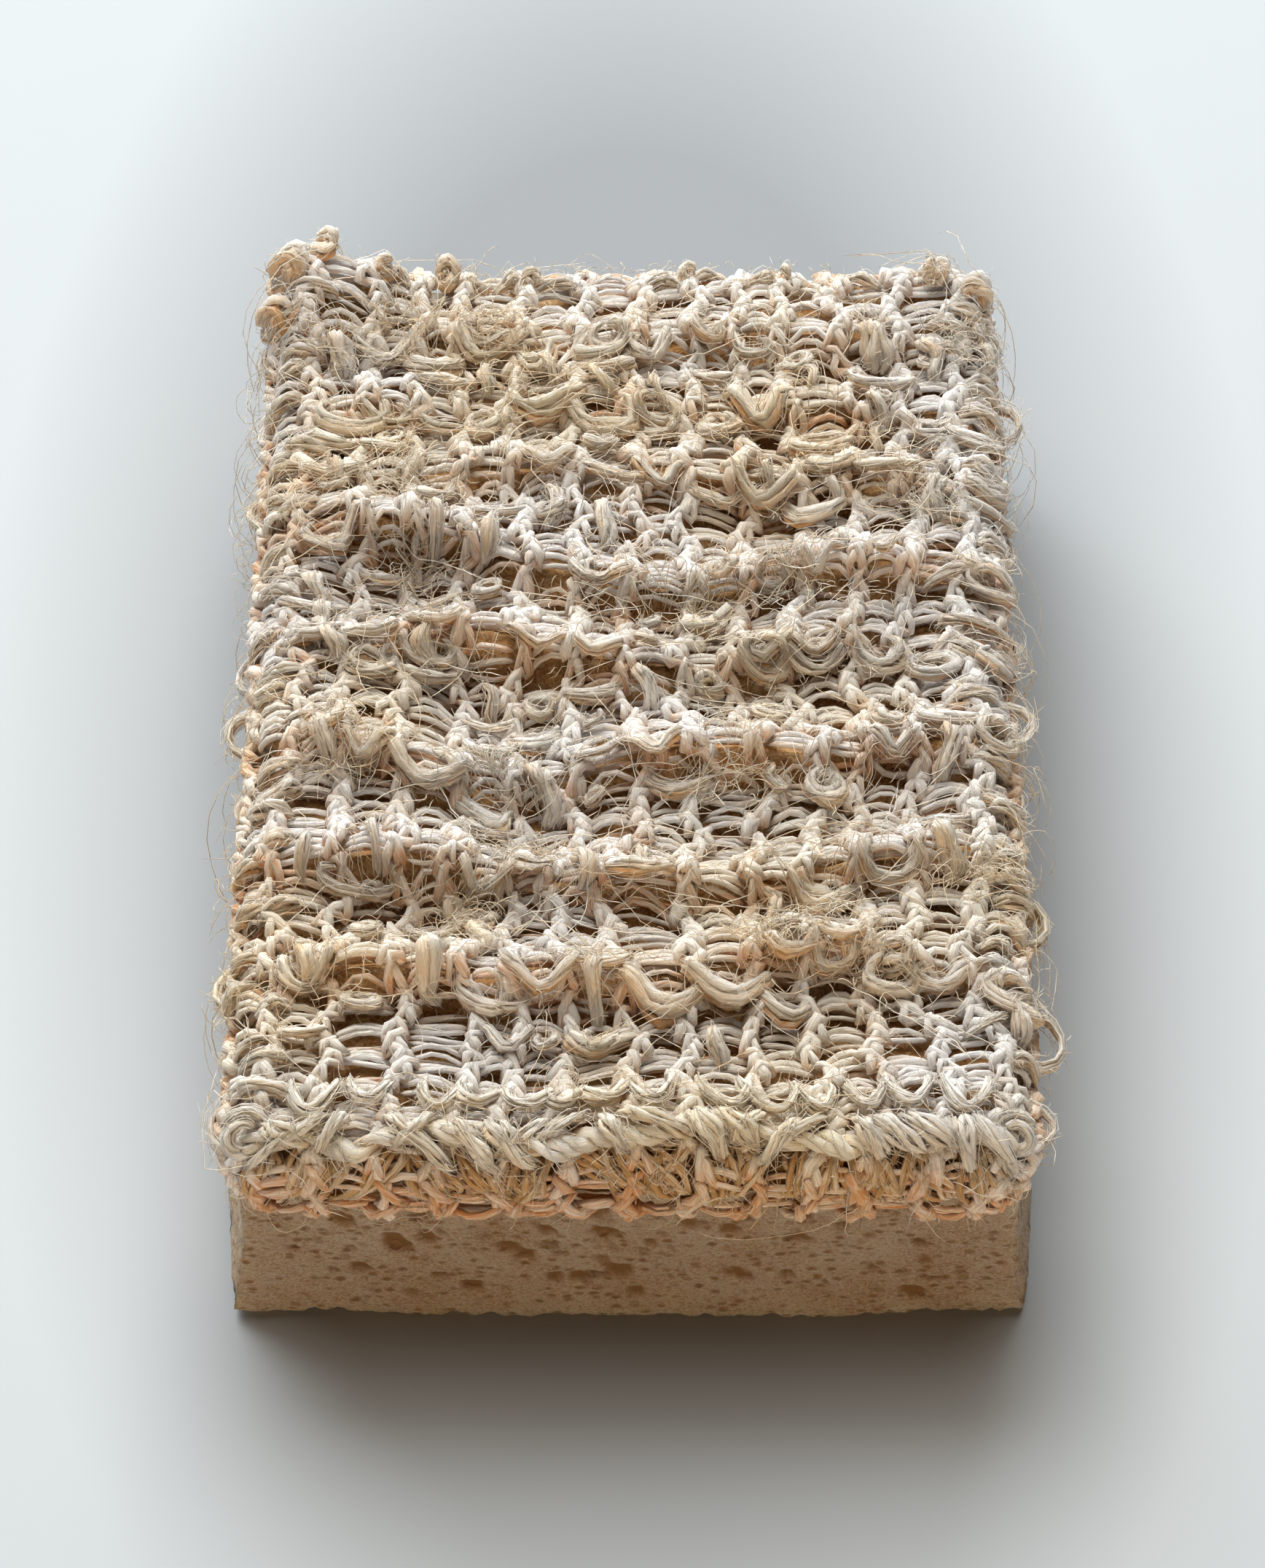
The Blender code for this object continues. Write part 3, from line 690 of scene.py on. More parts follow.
def groundMaterial():
    material, nodes, links, shader = newMaterial("knit_ground")
    coord = nodes.new("ShaderNodeTexCoord")
    matted = addNode(nodes, "ShaderNodeTexNoise", {
        "Scale": ground["hairScale"], "Detail": 5, "Roughness": 0.7, "Distortion": 1.4})
    links.new(coord.outputs["Object"], matted.inputs["Vector"])
    lessShadeWhereRolled = readAttribute(nodes, "rolled")
    level = math2(nodes, links, "MULTIPLY", lessShadeWhereRolled.outputs["Fac"], 0.09)
    level = math2(nodes, links, "ADD", level, matted.outputs["Fac"])
    # dark golden browns, partly painted shade between the rungs, a little lighter where the back rolls over
    # the edge
    ramp = colourRamp(nodes, (
        (0.36, (0.48, 0.20, 0.055)),
        (0.52, (0.76, 0.44, 0.18)),
        (0.72, (0.94, 0.71, 0.45)),
    ))
    links.new(level, ramp.inputs["Fac"])
    links.new(ramp.outputs["Color"], shader.inputs["Base Color"])
    addBump(nodes, links, matted.outputs["Fac"], ground["bump"], shader)
    shader.inputs["Roughness"].default_value = 0.85
    shader.inputs["Specular IOR Level"].default_value = 0.2
    return material


def buildGround():
    # the close back of the knit, seen deep between the rungs; its dark golden brown is partly painted shade
    bm = bmesh.new()
    bmesh.ops.create_grid(bm, x_segments=round(2 * flatX / ground["spacing"]),
                          y_segments=round(2 * flatY / ground["spacing"]), size=1.0)
    bmesh.ops.scale(bm, vec=(flatX, flatY, 1), verts=bm.verts)
    mesh = bpy.data.meshes.new("knit_ground")
    bm.to_mesh(mesh)
    bm.free()
    place = np.empty(len(mesh.vertices) * 3)
    mesh.vertices.foreach_get("co", place)
    u, v, _ = place.reshape(-1, 3).T
    dimple = np.cos(2 * math.pi * u / cloth["walePitch"]) * np.cos(2 * math.pi * v / cloth["coursePitch"])
    rolled = smoothStep((np.maximum(np.abs(u) - crestX, np.abs(v) - crestY) + 1 * mm) / (3 * mm))
    depth = ground["depth"] + (ground["edgeDepth"] - ground["depth"]) * rolled
    laid = onCloth(u, v, ground["dimple"] * dimple - depth)
    onBlock = np.maximum(np.abs(u) - crestX, np.abs(v) - crestY) < 0
    lowest = blockTop + ground["thickness"] + 0.1 * mm
    laid[:, 2] = np.where(onBlock, np.maximum(laid[:, 2], lowest), laid[:, 2])
    mesh.vertices.foreach_set("co", laid.ravel())
    mesh.attributes.new("rolled", "FLOAT", "POINT").data.foreach_set("value", rolled.astype(np.float32))
    made = addToScene("knit_ground", mesh, groundMaterial())
    wall = made.modifiers.new("wall", "SOLIDIFY")
    wall.thickness = ground["thickness"]
    wall.offset = -1
    print("knit_ground", 4 * len(mesh.polygons), "triangles")
    return made


wale = {
    "radius": 0.47 * mm,
    "sway": 0.85 * mm,          # of each ply about the wale
    "zigzag": 0.72 * mm,        # of the whole wale
    "lift": 0.20 * mm,
    "lump": 0.50 * mm,
    "stepsPerCourse": 8,
}
waleCount = 2 * int(flatX / cloth["walePitch"]) + 1
courseCount = 2 * int(flatY / cloth["coursePitch"])


def waleU(number, v):
    # where a wale runs: straight, but drawn a little to and fro by the rows
    middle = (number - (waleCount - 1) / 2) * cloth["walePitch"]
    return middle + 1.0 * mm * wave(middle / (19 * mm), v / (30 * mm), 21)


def waleStrands():
    chance = random.Random(31)
    rough = np.random.default_rng(31)
    strands = []
    steps = courseCount * wale["stepsPerCourse"]
    t = np.linspace(0, courseCount, steps + 1)
    for number in range(waleCount):
        for ply in (0, 1):
            wander = wave(t / 9, np.full_like(t, 0.61 * number), 22)
            slip = wave(t / 2.3, np.full_like(t, 0.3 * number), 25)
            phase = 2 * math.pi * (t + 0.5 * ply) + 1.5 * wander + 0.5 * slip
            v = (t - courseCount / 2) * cloth["coursePitch"]
            zigzag = wale["zigzag"] * (1 + 0.7 * wander) * np.sin(math.pi * t + number)
            open_ = 1 + 0.5 * wave(t / 3.4, np.full_like(t, number + 0.4 * ply), 23)
            u = waleU(number, v) + zigzag + wale["sway"] * open_ * np.sin(phase)
            v = v + 0.42 * mm * np.sin(2 * phase + 0.8)
            lift = wale["lift"] + wale["lump"] * np.cos(2 * phase + ply) + wale["radius"]
            thick = wave(t / 6, np.full_like(t, 0.7 * number + ply), 24)
            pulse = np.sin(2.7 * t + 3 * number + ply)
            radius = wale["radius"] * (1 + 0.15 * pulse + 0.35 * np.clip(thick, 0, 1))
            radius = radius * rough.uniform(0.76, 1.24, len(t))
            # painted light on a ply's raised lumps, painted shade in its low places and where shade()
            # darkens the cloth
            height = (0.66 + 0.34 * np.cos(2 * phase + ply)) * shade(u, v)
            uneven = rough.normal(0, 0.07 * mm, (len(t), 3))
            strands.append((onCloth(u, v, lift) + uneven, radius, height, chance.random()))
    return strands


rung = {
    "under": 1,                 # strands of the knit's back to each bunch
    "radius": 0.37 * mm,
    "apart": 0.78 * mm,
    "steps": 6,
    "lift": -0.55 * mm,
    "arch": 0.95 * mm,
    "bow": 1.15 * mm,
}


def rungStrands():
    chance = random.Random(32)
    strands = []
    share = np.linspace(0, 1, rung["steps"])
    arch = np.sin(math.pi * share)
    for number in range(waleCount - 1):
        for course in range(courseCount):
            v = (course + 0.5 - courseCount / 2) * cloth["coursePitch"]
            together = chance.choice((3, 3, 4, 4))
            slant = chance.uniform(-0.6, 0.6) * mm
            bow = chance.uniform(-0.2, 1.1) * rung["bow"]
            raised = chance.uniform(-0.5, 0.35) * mm
            start, end = waleU(number, v), waleU(number + 1, v)
            u = start + (end - start) * share
            rolledBy = np.maximum(np.abs(u) - crestX, np.abs(v) - crestY) / (2 * mm)
            base = rung["lift"] + 0.35 * mm * smoothStep(rolledBy)
            for k in range(rung["under"]):      # the back of the knit, coloured deep as painted shade
                along = v + chance.uniform(-0.5, 0.5) * cloth["coursePitch"]
                along = along + chance.uniform(-1, 1) * mm * (share - 0.5)
                lift = base - chance.uniform(0.5, 0.9) * mm + 0.3 * mm * arch
                height = 0.30 * shade(u, along)
                strands.append((onCloth(u, along, lift), 1.1 * rung["radius"], height, chance.random()))
            for k in range(together):
                off = (k - (together - 1) / 2) * rung["apart"] * chance.uniform(0.85, 1.15)
                along = v + slant * (share - 0.5) + off * (0.55 + 0.45 * arch) + bow * arch
                wobble = chance.uniform(-0.16, 0.16) * mm
                wobble = wobble * np.sin(2 * math.pi * share + chance.uniform(0, 6))
                lift = base + rung["arch"] * arch * chance.uniform(0.3, 1.3) + wobble + raised * arch
                radius = rung["radius"] * chance.uniform(0.75, 1.25)
                # painted light on top of the arch, painted shade at its ends
                height = (0.50 + 0.48 * arch) * shade(u, along)
                strands.append((onCloth(u, along + wobble, lift), radius, height, chance.random()))
    return strands


loose = {
    "steps": 12,
    "high": 2.2 * mm,
    "thick": 1.9 * mm,
    "ply": 0.30,                # radius of a ply, of the yarn's thickness
    "hair": 0.045 * mm,
    "hairs": 8,
    "skipped": 0.10,            # share of a row's places without a loop
    "between": 100,             # smaller ones that stand by themselves between the rows
}
hairLimit = 0.12 * mm           # thinner strands are drawn as hairs
plyPlaces = ((-0.85, 0.1), (-0.35, 0.5), (-0.3, -0.5), (0.25, 0.55), (0.35, -0.45), (0.85, -0.1))


def fatYarn(chance, path, across, high, thick, low=0.1, top=1.0, hairs=loose["hairs"]):
    # a thick soft yarn with hardly any twist: six plies in a band, and hairs that stray all round it; low
    # and top are the painted shade of its lower side and the painted light of its upper side
    steps = len(path)
    share = np.linspace(0, 1, steps)
    full = 0.25 + 0.75 * np.sin(math.pi * share) ** 0.5
    full = full * (1 + 0.16 * np.sin(2 * math.pi * (share * chance.uniform(1.2, 2.6) + chance.random())))
    across = np.broadcast_to(across, (steps, 3))
    across = across / np.linalg.norm(across, axis=1)[:, None]
    tangent = np.gradient(path, axis=0)
    through = np.cross(tangent, across)
    through = through / np.maximum(np.linalg.norm(through, axis=1), 1e-9)[:, None]
    strands = []
    turn = chance.uniform(-1.6, 1.6) * share
    for a, b in plyPlaces:
        wander = 0.35 * np.sin(2 * math.pi * (share * chance.uniform(0.6, 1.8) + chance.random()))
        along = (a * np.cos(turn) - b * np.sin(turn) + wander) * full * 0.36 * high
        aside = (b * np.cos(turn) + a * np.sin(turn) - wander) * full * 0.36 * thick
        # painted light on the upper plies, painted shade on the lower ones
        height = low + (top - low) * np.clip(0.5 + 0.5 * along / (0.36 * high), 0, 1)
        lumps = np.array([chance.uniform(0.72, 1.28) for _ in range(steps)])
        radius = loose["ply"] * thick * full * lumps
        laid = path + along[:, None] * across + aside[:, None] * through
        strands.append((laid, radius, height, chance.random()))
    for k in range(hairs):
        angle = 2 * math.pi * (k + chance.random()) / hairs + chance.uniform(-1.4, 1.4) * share
        away = chance.uniform(0, 1) ** 3 * 1.3
        away = away * np.sin(math.pi * np.clip(share * chance.uniform(0.8, 1.6), 0, 1)) ** 2
        out = full * (1.02 + away) + 0.5 * chance.random() * np.abs(2 * share - 1) ** 3
        bend = 0.12 * mm * np.sin(2 * math.pi * (share * chance.uniform(0.8, 2.2) + chance.random()))
        offset = ((high / 2) * out * np.sin(angle) + bend)[:, None] * across
        offset = offset + ((thick / 2) * out * np.cos(angle) + bend)[:, None] * through
        shift = chance.uniform(-0.9, 0.9) * (path[-1] - path[0]) / steps
        # the same for the hairs: lighter above and darker below, as painted light and shade
        height = low + (top - low) * (0.6 + 0.4 * np.sin(angle)) * chance.uniform(0.8, 1.1)
        radius = loose["hair"] * chance.uniform(0.7, 1.4)
        strands.append((path + offset + shift, radius, height, chance.random()))
    return strands


def plies(strands):
    return [strand for strand in strands if np.max(strand[1]) > hairLimit]


def hairs(strands):
    return [strand for strand in strands if np.max(strand[1]) <= hairLimit]


def jittered(chance, corners, by):
    return [[value + chance.uniform(-by, by) for value in corner] for corner in corners]


def looseLoop(chance, u, v, reach, size):
    # one loop of a row: it leaves a wale, lies on edge along the step and goes back at the next wale
    kind = chance.random()
    steps = loose["steps"]
    high = loose["high"] * size * chance.uniform(0.7, 1.1)
    thick = loose["thick"] * size * chance.uniform(0.75, 1.05)
    across = np.array([chance.uniform(-0.3, 0.3), chance.uniform(0.1, 0.6), 1.0])
    # painted shade for the loop's lower side and painted light for its upper side
    low, top = 0.15, 1.0
    side = chance.choice((-1, 1))
    if kind < 0.24:      # a sagging bow
        sag = chance.uniform(1.6, 3.2) * size
        corners = ((-0.05, 0.9, 0.3), (0.12, -0.2, 1.2), (0.5, -sag, 1.7),
                   (0.88, -0.3, 1.2), (1.05, 0.8, 0.3))
    elif kind < 0.58:      # a hook, open to one side
        wide = chance.uniform(0.34, 0.55)
        deep = chance.uniform(2.2, 3.6) * size
        corners = ((0.5 - side * wide, 1.4, 0.2), (0.5 - 0.9 * side * wide, -0.3 * deep, 1.4),
                   (0.5 - 0.1 * side * wide, -deep, 1.8), (0.5 + 0.8 * side * wide, -0.75 * deep, 1.7),
                   (0.5 + side * wide, -0.1 * deep, 1.3), (0.5 + 0.5 * side * wide, 0.2 * deep, 0.9))
        high, thick = 0.88 * high, 0.95 * thick
    elif kind < 0.78:      # a knob that goes over the step
        drop = chance.uniform(2.2, 3.4)
        high = chance.uniform(1.8, 2.7) * mm * size
        across = np.array([1.0, chance.uniform(-0.5, 0.5), 0.1])
        low, top = 0.5, 0.95
        corners = ((0.45, 1.6, 0.0), (0.5, 0.6, 1.7), (0.53, -0.6, 2.2),
                   (0.56, -drop * 0.8, 1.4), (0.55, -drop, 0.0))
    else:      # a curl
        steps += 5
        radius = chance.uniform(1.0, 1.7) * size
        high, thick = 0.75 * high, 0.88 * thick
        turns = np.linspace(0.3, 0.3 + 2 * math.pi * chance.uniform(0.85, 1.35), 9)
        shrink = np.linspace(1.0, 0.7, 9)
        corners = [
            (0.5 + side * radius * b * 0.25 * math.sin(a), -1.2 + radius * b * math.cos(a),
             1.7 + 0.4 * math.sin(a))
            for a, b in zip(turns, shrink)
        ]
    uneven = 0.04 if kind >= 0.78 else 0.12
    corners = [(a * reach, b * mm, c * mm) for a, b, c in jittered(chance, corners, uneven)]
    return fatYarn(chance, layPath(corners, steps, (u, v, 0.0)), across, high, thick, low, top)


def looseLoopStrands():
    chance = random.Random(33)
    strands = []
    for row in loopRows:
        for number in range(2, waleCount - 2):
            if chance.random() < loose["skipped"]:
                continue
            start = waleU(number, 0.0)
            v = float(loopRowY(row, start)) + chance.uniform(-2.0, 1.4) * mm
            size = chance.uniform(0.55, 1.15)
            strands += looseLoop(chance, start, v, cloth["walePitch"] * chance.uniform(0.8, 1.2), size)
    for i in range(loose["between"]):
        number = chance.randrange(2, waleCount - 2)
        v = chance.uniform(-crestY + 6 * mm, crestY - 4 * mm)
        strands += looseLoop(chance, waleU(number, v), v, cloth["walePitch"], chance.uniform(0.42, 0.8))
    return strands


rim = {
    "turn": 3.0 * mm,           # the rope lies this far past the crest
    "lift": 1.5 * mm,
    "ply": 0.62 * mm,
    "twist": 6.5 * mm,
    "wraps": 22,                # yarn wound over the rope
    "hooks": 14,                # loops behind it
    "folds": 26,                # soft folds that hang from it over the block's edge
    "hairs": 14,
}


def rimStrands():
    chance = random.Random(34)
    strands = []
    half = crestX + 2.2 * mm
    u = np.linspace(-half, half, 150)
    sway = 1.1 * mm * wave(u / (15 * mm), np.zeros_like(u), 71)
    heave = 0.7 * mm * wave(u / (12 * mm), np.zeros_like(u), 72)
    fat = 1 + 0.38 * wave(u / (6 * mm), np.zeros_like(u), 73)
    for k in range(3):
        slip = 2.6 * wave(u / (22 * mm), np.full_like(u, 0.1 * k), 74)
        turn = 2 * math.pi * (u / rim["twist"] + k / 3) + slip
        v = -crestY - rim["turn"] + sway + 0.75 * rim["ply"] * np.cos(turn)
        lift = rim["lift"] + heave + 0.75 * rim["ply"] * np.sin(turn)
        # painted light where a ply turns up, painted shade where it turns under
        strands.append((onCloth(u, v, lift), rim["ply"] * fat, 0.62 + 0.36 * np.sin(turn), 0.8))
        for hair in range(rim["hairs"]):
            start = chance.randrange(0, 135)
            stretch = slice(start, start + 14)
            out = rim["ply"] * (1.1 + 1.5 * chance.random() ** 2 * np.sin(math.pi * np.linspace(0, 1, 14)))
            angle = turn[stretch] + chance.uniform(-1, 1)
            raised = lift[stretch] + out * np.sin(angle)
            path = onCloth(u[stretch], v[stretch] + out * np.cos(angle), raised)
            strands.append((path, loose["hair"] * chance.uniform(0.8, 1.4), 0.9, chance.random()))
    for k in range(rim["wraps"]):
        u = -crestX + (k + chance.random()) * 2 * crestX / rim["wraps"]
        length = chance.uniform(0.5, 7.0) * mm * chance.choice((-1, 1))
        deep = chance.uniform(2.8, 4.8) * mm
        corners = [(u + a * length, -crestY - rim["turn"] + 2.2 * mm - b * deep, c * mm)
                   for a, b, c in ((-0.1, 0, 0.4), (0.15, 0.3, 2.4), (0.6, 0.65, 2.6), (1.0, 1.0, 0.6))]
        path = layPath(corners, loose["steps"])
        across = np.array([1.0, 0.2, 0.5])
        strands += fatYarn(chance, path, across, chance.uniform(1.2, 2.8) * mm, 1.1 * mm, 0.5, 1.0)
    for side, size in ((-1, 2.3), (1, 2.0)):      # the yarn's end is curled up at each front corner
        steps = 24
        turn = np.linspace(0.4, 0.4 + 2.7 * math.pi, steps)
        radius = size * mm * (1 - 0.55 * np.linspace(0, 1, steps))
        centre = np.array([side * (crestX + 1.9 * mm), -crestY - 2.2 * mm, rollMiddleZ + 3.2 * mm])
        right, up = np.array([1.0, -0.25 * side, 0.0]), np.array([0.0, 0.62, 0.78])
        path = centre + radius[:, None] * (side * np.cos(turn)[:, None] * right + np.sin(turn)[:, None] * up)
        path = path - np.linspace(0, 1.0 * mm, steps)[:, None] * np.array([0.0, 0.78, -0.62])
        strands += fatYarn(chance, path, np.array([0.0, -0.7, 0.7]), 1.3 * mm, 1.1 * mm, 0.5, 1.0, hairs=14)
    for k in range(rim["folds"]):
        u = -crestX - 1 * mm + (k + chance.random()) * 2 * (crestX + 1 * mm) / rim["folds"]
        slant = chance.uniform(-4.5, 4.5) * mm
        fall = chance.uniform(3.2, 4.6) * mm
        corners = [(u + a * slant, -crestY - 4.4 * mm - b * fall, c * mm)
                   for a, b, c in ((-0.3, -0.2, 0.0), (0.1, 0.2, 0.7), (0.7, 0.7, 0.5), (1.3, 1.1, -0.5))]
        path = layPath(corners, loose["steps"])
        across = np.array([1.0, 0.0, 0.3])
        # the folds are coloured deep: painted shade under the rope
        strands += fatYarn(chance, path, across, chance.uniform(3.2, 4.8) * mm, 1.1 * mm, -0.15, 0.20)
    for k in range(rim["hooks"]):
        u = -crestX + 1.5 * mm + (k + chance.uniform(0.1, 0.6)) * 2 * (crestX - 2 * mm) / rim["hooks"]
        wide = chance.uniform(3.2, 5.2) * mm
        deep = chance.uniform(3.4, 5.0) * mm
        corners = [(u + a * wide, -crestY + 4.0 * mm - b * deep, c * mm)
                   for a, b, c in ((0, -0.2, 0.2), (0.05, 0.4, 1.3), (0.30, 0.92, 1.8),
                                   (0.68, 1.0, 1.8), (0.95, 0.5, 1.5), (1.0, -0.1, 0.2))]
        path = layPath(corners, loose["steps"] + 4)
        strands += fatYarn(chance, path, np.array([0.2, 0.3, 0.9]), chance.uniform(1.0, 1.6) * mm,
                           chance.uniform(0.85, 1.1) * mm, 0.45, 1.0)
    return strands


edge = {"apart": 3.6 * mm, "atBack": 9}


def edgeStrands():
    # thick yarn that turns over the shoulder along both sides and the back, in tufts and short loops
    chance = random.Random(36)
    strands = []
    for side in (-1, 1):
        for k in range(int(2 * crestY / edge["apart"])):
            v = -crestY + (k + chance.uniform(0.1, 0.9)) * edge["apart"]
            slant = chance.uniform(-3.6, 2.4) * mm
            size = chance.uniform(0.55, 1.1)
            inner = crestX - chance.uniform(-1.5, 3.5) * mm
            outer = inner + chance.uniform(3.5, 6.5) * mm
            corners = ((0, 0, 0.1), (0.3, 0.35, 1.2), (0.7, 0.75, 1.3), (1.0, 1.0, 0.3))
            corners = [(side * (inner + a * (outer - inner)), v + b * slant, c * mm)
                       for a, b, c in jittered(chance, corners, 0.15)]
            path = layPath(corners, loose["steps"])
            across = np.array([0.3 * side, chance.uniform(0.2, 1.0), 1.0])
            strands += fatYarn(chance, path, across, 2.1 * mm * size, 1.2 * mm * size, 0.15, 0.95)
    for k in range(edge["atBack"]):
        u = -crestX + 1 * mm + (k + chance.random()) * 2 * (crestX - 2 * mm) / edge["atBack"]
        corners = ((0, -0.8, 0.1), (0.3, 0.3, 1.0), (0.7, 0.3, 1.0), (1.0, -0.8, 0.1))
        corners = [(u + a * 4.4 * mm, crestY + 1.2 * mm + b * mm, c * mm)
                   for a, b, c in jittered(chance, corners, 0.3)]
        path = layPath(corners, loose["steps"])
        across = np.array([0.0, 0.4, 1.0])
        strands += fatYarn(chance, path, across, chance.uniform(1.0, 2.4) * mm, 1.0 * mm, 0.15, 0.8)
    return strands


# Knobs and curls at the back edge: across, along, size
backKnobs = (
    (-34.5, 54.5, 1.1), (-31.5, 57.5, 0.9), (-35.5, 50.5, 1.0), (-19.0, 57.5, 0.9), (-9.6, 57.5, 0.6),
    (-25.5, 56.5, 0.7), (4.8, 57.5, 0.65), (15.5, 57.0, 0.6), (30.5, 56.0, 0.8), (34.0, 53.5, 0.95),
)


def backKnobStrands():
    chance = random.Random(38)
    strands = []
    for x, y, size in backKnobs:
        steps = loose["steps"] + 3
        turn = np.linspace(0, 2 * math.pi * chance.uniform(0.8, 1.2), steps) + chance.uniform(0, 6)
        radius = 1.2 * mm * size * (1 - 0.35 * np.linspace(0, 1, steps))
        u = x * mm + radius * np.cos(turn)
        v = y * mm + 0.5 * radius * np.sin(turn)
        lift = (1.2 * size + 0.9) * mm + 0.9 * radius * np.sin(turn)
        across = np.array([0.2, 1.0, 0.4])
        strands += fatYarn(chance, onCloth(u, v, lift), across, 2.5 * mm * size, 2.0 * mm * size, 0.2, 0.8)
    return strands


# Loops along the sides: side, distance from the middle, width, reach past the edge, height on the roll
# and how far they close
sideLoops = (
    (1, 38, 7.0, 3.6, 1.6, 0.80), (1, 21, 6.0, 2.6, 1.0, 0.90), (1, 7.5, 5.5, 2.4, 0.5, 0.85),
    (1, -4.5, 6.5, 3.0, 1.2, 1.05), (1, -14, 5.0, 1.6, 0.2, 0.80), (1, -30, 7.0, 3.4, 1.5, 1.10),
    (1, -45, 8.0, 4.4, 1.8, 0.95), (1, -55, 6.0, 2.8, 0.8, 1.20), (1, 50, 6.0, 2.0, 1.4, 0.9),
    (-1, 38, 6.5, 2.2, 1.6, 0.85), (-1, 26, 5.5, 2.4, 0.6, 0.80), (-1, 48, 6.0, 2.0, 1.2, 1.0),
    (-1, 14, 5.0, 1.4, 0.8, 0.9), (-1, 4, 6.0, 2.8, 0.6, 0.95), (-1, -5.5, 6.0, 3.0, 1.0, 0.90),
    (-1, -14, 5.5, 2.0, 0.2, 0.8), (-1, -22, 5.0, 2.0, 0.6, 0.85), (-1, -38, 7.5, 3.0, 1.4, 1.00),
    (-1, -55, 7.0, 2.6, 1.2, 1.25), (-1, -47, 4.5, 1.6, 0, 0.8),
)


def sideLoopStrands():
    chance = random.Random(35)
    strands = []
    for side, y, width, reach, height, closed in sideLoops:
        steps = 20
        share = np.linspace(0, 1, steps)
        turn = math.pi * (0.5 + closed) * 2 * (share - 0.5)
        radius = width * mm / 2 * (1 - 0.18 * share)
        middleX = crestX + cloth["rollWidth"] - cloth["yarnDepth"] + (reach - width / 2) * mm
        flatAcross = middleX + radius * np.cos(turn)
        along = y * mm + radius * np.sin(turn) * chance.uniform(0.8, 1.05)
        tilt = math.radians(chance.uniform(-35, 25))
        lifted = rollMiddleZ + height * mm + (flatAcross - middleX) * math.sin(tilt)
        lifted = lifted + 0.8 * mm * (share - 0.5)
        path = np.stack([side * (middleX + (flatAcross - middleX) * math.cos(tilt)), along, lifted], 1)
        band = chance.uniform(1.1, 1.8) * mm
        across = np.array([0.25 * side, 0.1, 0.96])
        strands += fatYarn(chance, path, across, band, chance.uniform(0.5, 0.75) * mm, 0.3, 1.0)
    return strands


fuzz = {
    "radius": 0.040 * mm,
    "frizz": 10000,
    "rimFrizz": 2600,
    "frizzLength": (0.9 * mm, 2.6 * mm),
    "short": {"count": 2600, "length": (1.4 * mm, 4.2 * mm), "lift": (1.2 * mm, 3.0 * mm), "steps": 5,
              "loosen": 0.5},
    "long": {"count": 520, "length": (6 * mm, 18 * mm), "lift": (1.8 * mm, 4.2 * mm), "steps": 11,
             "loosen": 0.28},
}


def hairStrands(hair, seed):
    chance = np.random.default_rng(seed)
    strands = []
    low, high = hair["lift"]
    for _ in range(hair["count"]):
        u = chance.uniform(-flatX + 3 * mm, flatX - 3 * mm)
        v = chance.uniform(-flatY + 3 * mm, flatY - 3 * mm)
        onRow = chance.random() < 0.5      # half of them come out of the loose loops
        if onRow:
            v = float(loopRowY(loopRows[chance.integers(len(loopRows))], u)) + chance.normal(-1.2, 1.6) * mm
        length = chance.uniform(*hair["length"])
        heading = chance.uniform(0, 2 * math.pi)
        bend = chance.normal(0, hair["loosen"], hair["steps"]).cumsum()
        bow = chance.uniform(0.2, 1.0)
        step = length / (hair["steps"] - 1)
        share = np.linspace(0, 1, hair["steps"])
        across = np.cumsum(np.cos(heading + bend)) * step
        along = np.cumsum(np.sin(heading + bend)) * step
        off = (high - low) * chance.random() * np.sin(math.pi * share * bow)
        off = off + low * (1.6 if onRow else 1)
        radius = fuzz["radius"] * chance.uniform(0.7, 1.5)
        path = onCloth(u + across, v + along, off)
        strands.append((path, radius, 0.45 + 0.5 * chance.random(), chance.random()))
    return strands


def frizzStrands(yarn, count, seed):
    # short fine hairs that stand out of the thick yarn all round
    chance = np.random.default_rng(seed)
    thickYarn = plies(yarn)
    lengths = np.array([np.linalg.norm(np.diff(strand[0], axis=0), axis=1).sum() for strand in thickYarn])
    strands = []
    for number in chance.choice(len(thickYarn), count, p=lengths / lengths.sum()):
        points, radii, height, tone = thickYarn[number]
        at = chance.integers(1, len(points) - 2)
        way = points[at + 1] - points[at]
        way = way / max(np.linalg.norm(way), 1e-9)
        out = np.cross(way, chance.normal(0, 1, 3))
        out = out / max(np.linalg.norm(out), 1e-9)
        root = points[at] + (points[at + 1] - points[at]) * chance.random()
        root = root + out * np.broadcast_to(radii, len(points))[at] * 0.8
        length = chance.uniform(*fuzz["frizzLength"])
        share = np.linspace(0, 1, 4)[:, None]
        aside = np.cross(way, out)
        lean = chance.uniform(-1.2, 1.2)
        bend = chance.normal(0, 0.5) * aside - 0.3 * out
        path = root + length * (share * (0.75 * out + lean * way) + share ** 2 * bend)
        radius = fuzz["radius"] * chance.uniform(0.7, 1.3)
        strands.append((path, radius, 0.6 + 0.4 * chance.random(), chance.random()))
    return strands


# Tufts of combed-out fibre: where they grow, in millimetres
tuftPlaces = (
    (-20.5, 17), (4.6, 9.8), (7.5, -14), (-12, -14), (-8, -24), (18, -30), (22, -38), (12, -39), (-27, -12),
    (30, -28), (-16, -31), (-24, 28), (14, 13), (27, 24), (-31, 47), (-22, 51), (-14, 51), (31, 48),
)
tuft = {"hairs": 60, "length": (2.5 * mm, 6.5 * mm), "spread": 1.5 * mm}


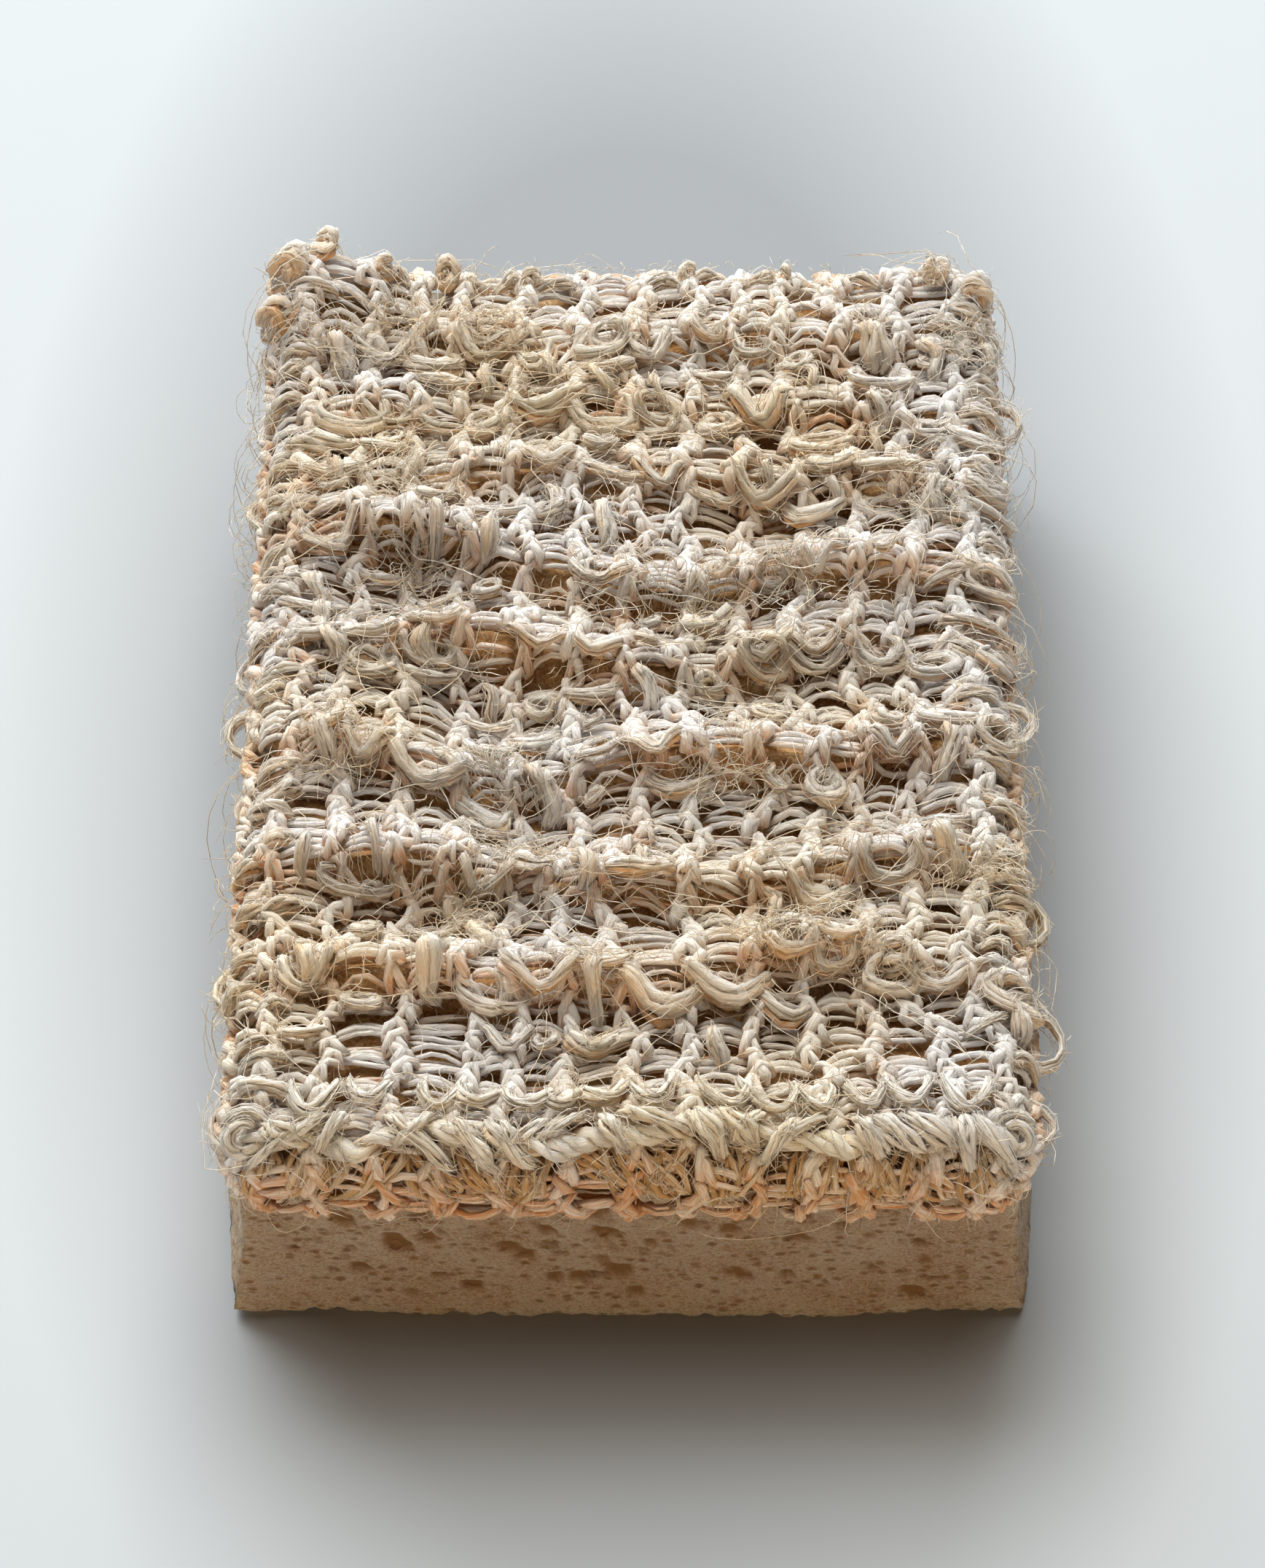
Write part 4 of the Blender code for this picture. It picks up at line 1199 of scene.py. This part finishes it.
def tuftStrands():
    chance = random.Random(37)
    strands = []
    share = np.linspace(0, 1, 7)
    for x, y in tuftPlaces:
        comb = chance.uniform(0, 2 * math.pi)
        for k in range(tuft["hairs"]):
            length = chance.uniform(*tuft["length"])
            heading = comb + chance.gauss(0, 1.1)
            curl = chance.gauss(0, 2.0)
            angle = heading + curl * share
            u = x * mm + chance.gauss(0, 1) * tuft["spread"] + np.cumsum(np.cos(angle)) * length / 7
            v = y * mm + chance.gauss(0, 0.7) * tuft["spread"] + np.cumsum(np.sin(angle)) * length / 7
            rise = chance.uniform(1.0, 2.6) * mm
            off = 0.8 * mm + rise * np.sin(math.pi * share * chance.uniform(0.5, 1.0))
            radius = fuzz["radius"] * chance.uniform(0.8, 1.6)
            strands.append((onCloth(u, v, off), radius, 0.35 + 0.6 * chance.random(), chance.random()))
    return strands


print("table, light and camera")
addFloor()
addLight()

print("sponge block")
spongeBlock = buildSponge()
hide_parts("cellulose_sponge")
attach(spongeBlock, "root")

print("knitted cloth")
plied = yarnMaterial("plied_bast", (0.76, 0.37, 0.15), (0.98, 0.83, 0.73), (1.0, 0.985, 0.99))
untwisted = yarnMaterial("loose_bast", (0.80, 0.41, 0.15), (0.99, 0.81, 0.65), (1.0, 0.96, 0.92),
                         glow=0.5, streaks=0.14)
rolled = yarnMaterial("rolled_bast", (0.62, 0.38, 0.17), (1.0, 0.87, 0.73), (1.0, 0.97, 0.93),
                      glow=0.6, streaks=0.14)
stray = yarnMaterial("stray_fibre", (0.80, 0.48, 0.20), (0.95, 0.79, 0.56), (1.0, 0.95, 0.85), glow=0.2)
knitGround = buildGround()
loopYarn, rimYarn = looseLoopStrands(), rimStrands()
edgeYarn, sideYarn = edgeStrands() + backKnobStrands(), sideLoopStrands()
waleYarn = waleStrands()
shortHairs = hairStrands(fuzz["short"], 61)
longHairs = hairStrands(fuzz["long"], 62)
yarns = [
    layYarn("wales", waleYarn, plied, sides=6),
    layYarn("rungs", rungStrands(), plied, sides=4),
    layYarn("loose_loops", plies(loopYarn), untwisted, sides=4),
    layYarn("loop_hairs", hairs(loopYarn), untwisted, sides=3),
    layYarn("front_rim", plies(rimYarn), rolled, sides=4),
    layYarn("edge_yarn", plies(edgeYarn), untwisted, sides=4),
    layYarn("side_loops", plies(sideYarn), untwisted, sides=4),
    layYarn("edge_hairs", hairs(rimYarn + edgeYarn + sideYarn), rolled, sides=3),
    layYarn("frizz", frizzStrands(loopYarn + edgeYarn + sideYarn + waleYarn, fuzz["frizz"], 63)
            + frizzStrands(rimYarn, fuzz["rimFrizz"], 64), stray, sides=3),
    layYarn("tufts", tuftStrands(), stray, sides=3),
    layYarn("short_fuzz", shortHairs, stray, sides=3),
    layYarn("long_fibres", longHairs, stray, sides=3),
]
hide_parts("scrub_cloth")
for piece in [knitGround, *yarns]:
    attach(piece, "root")
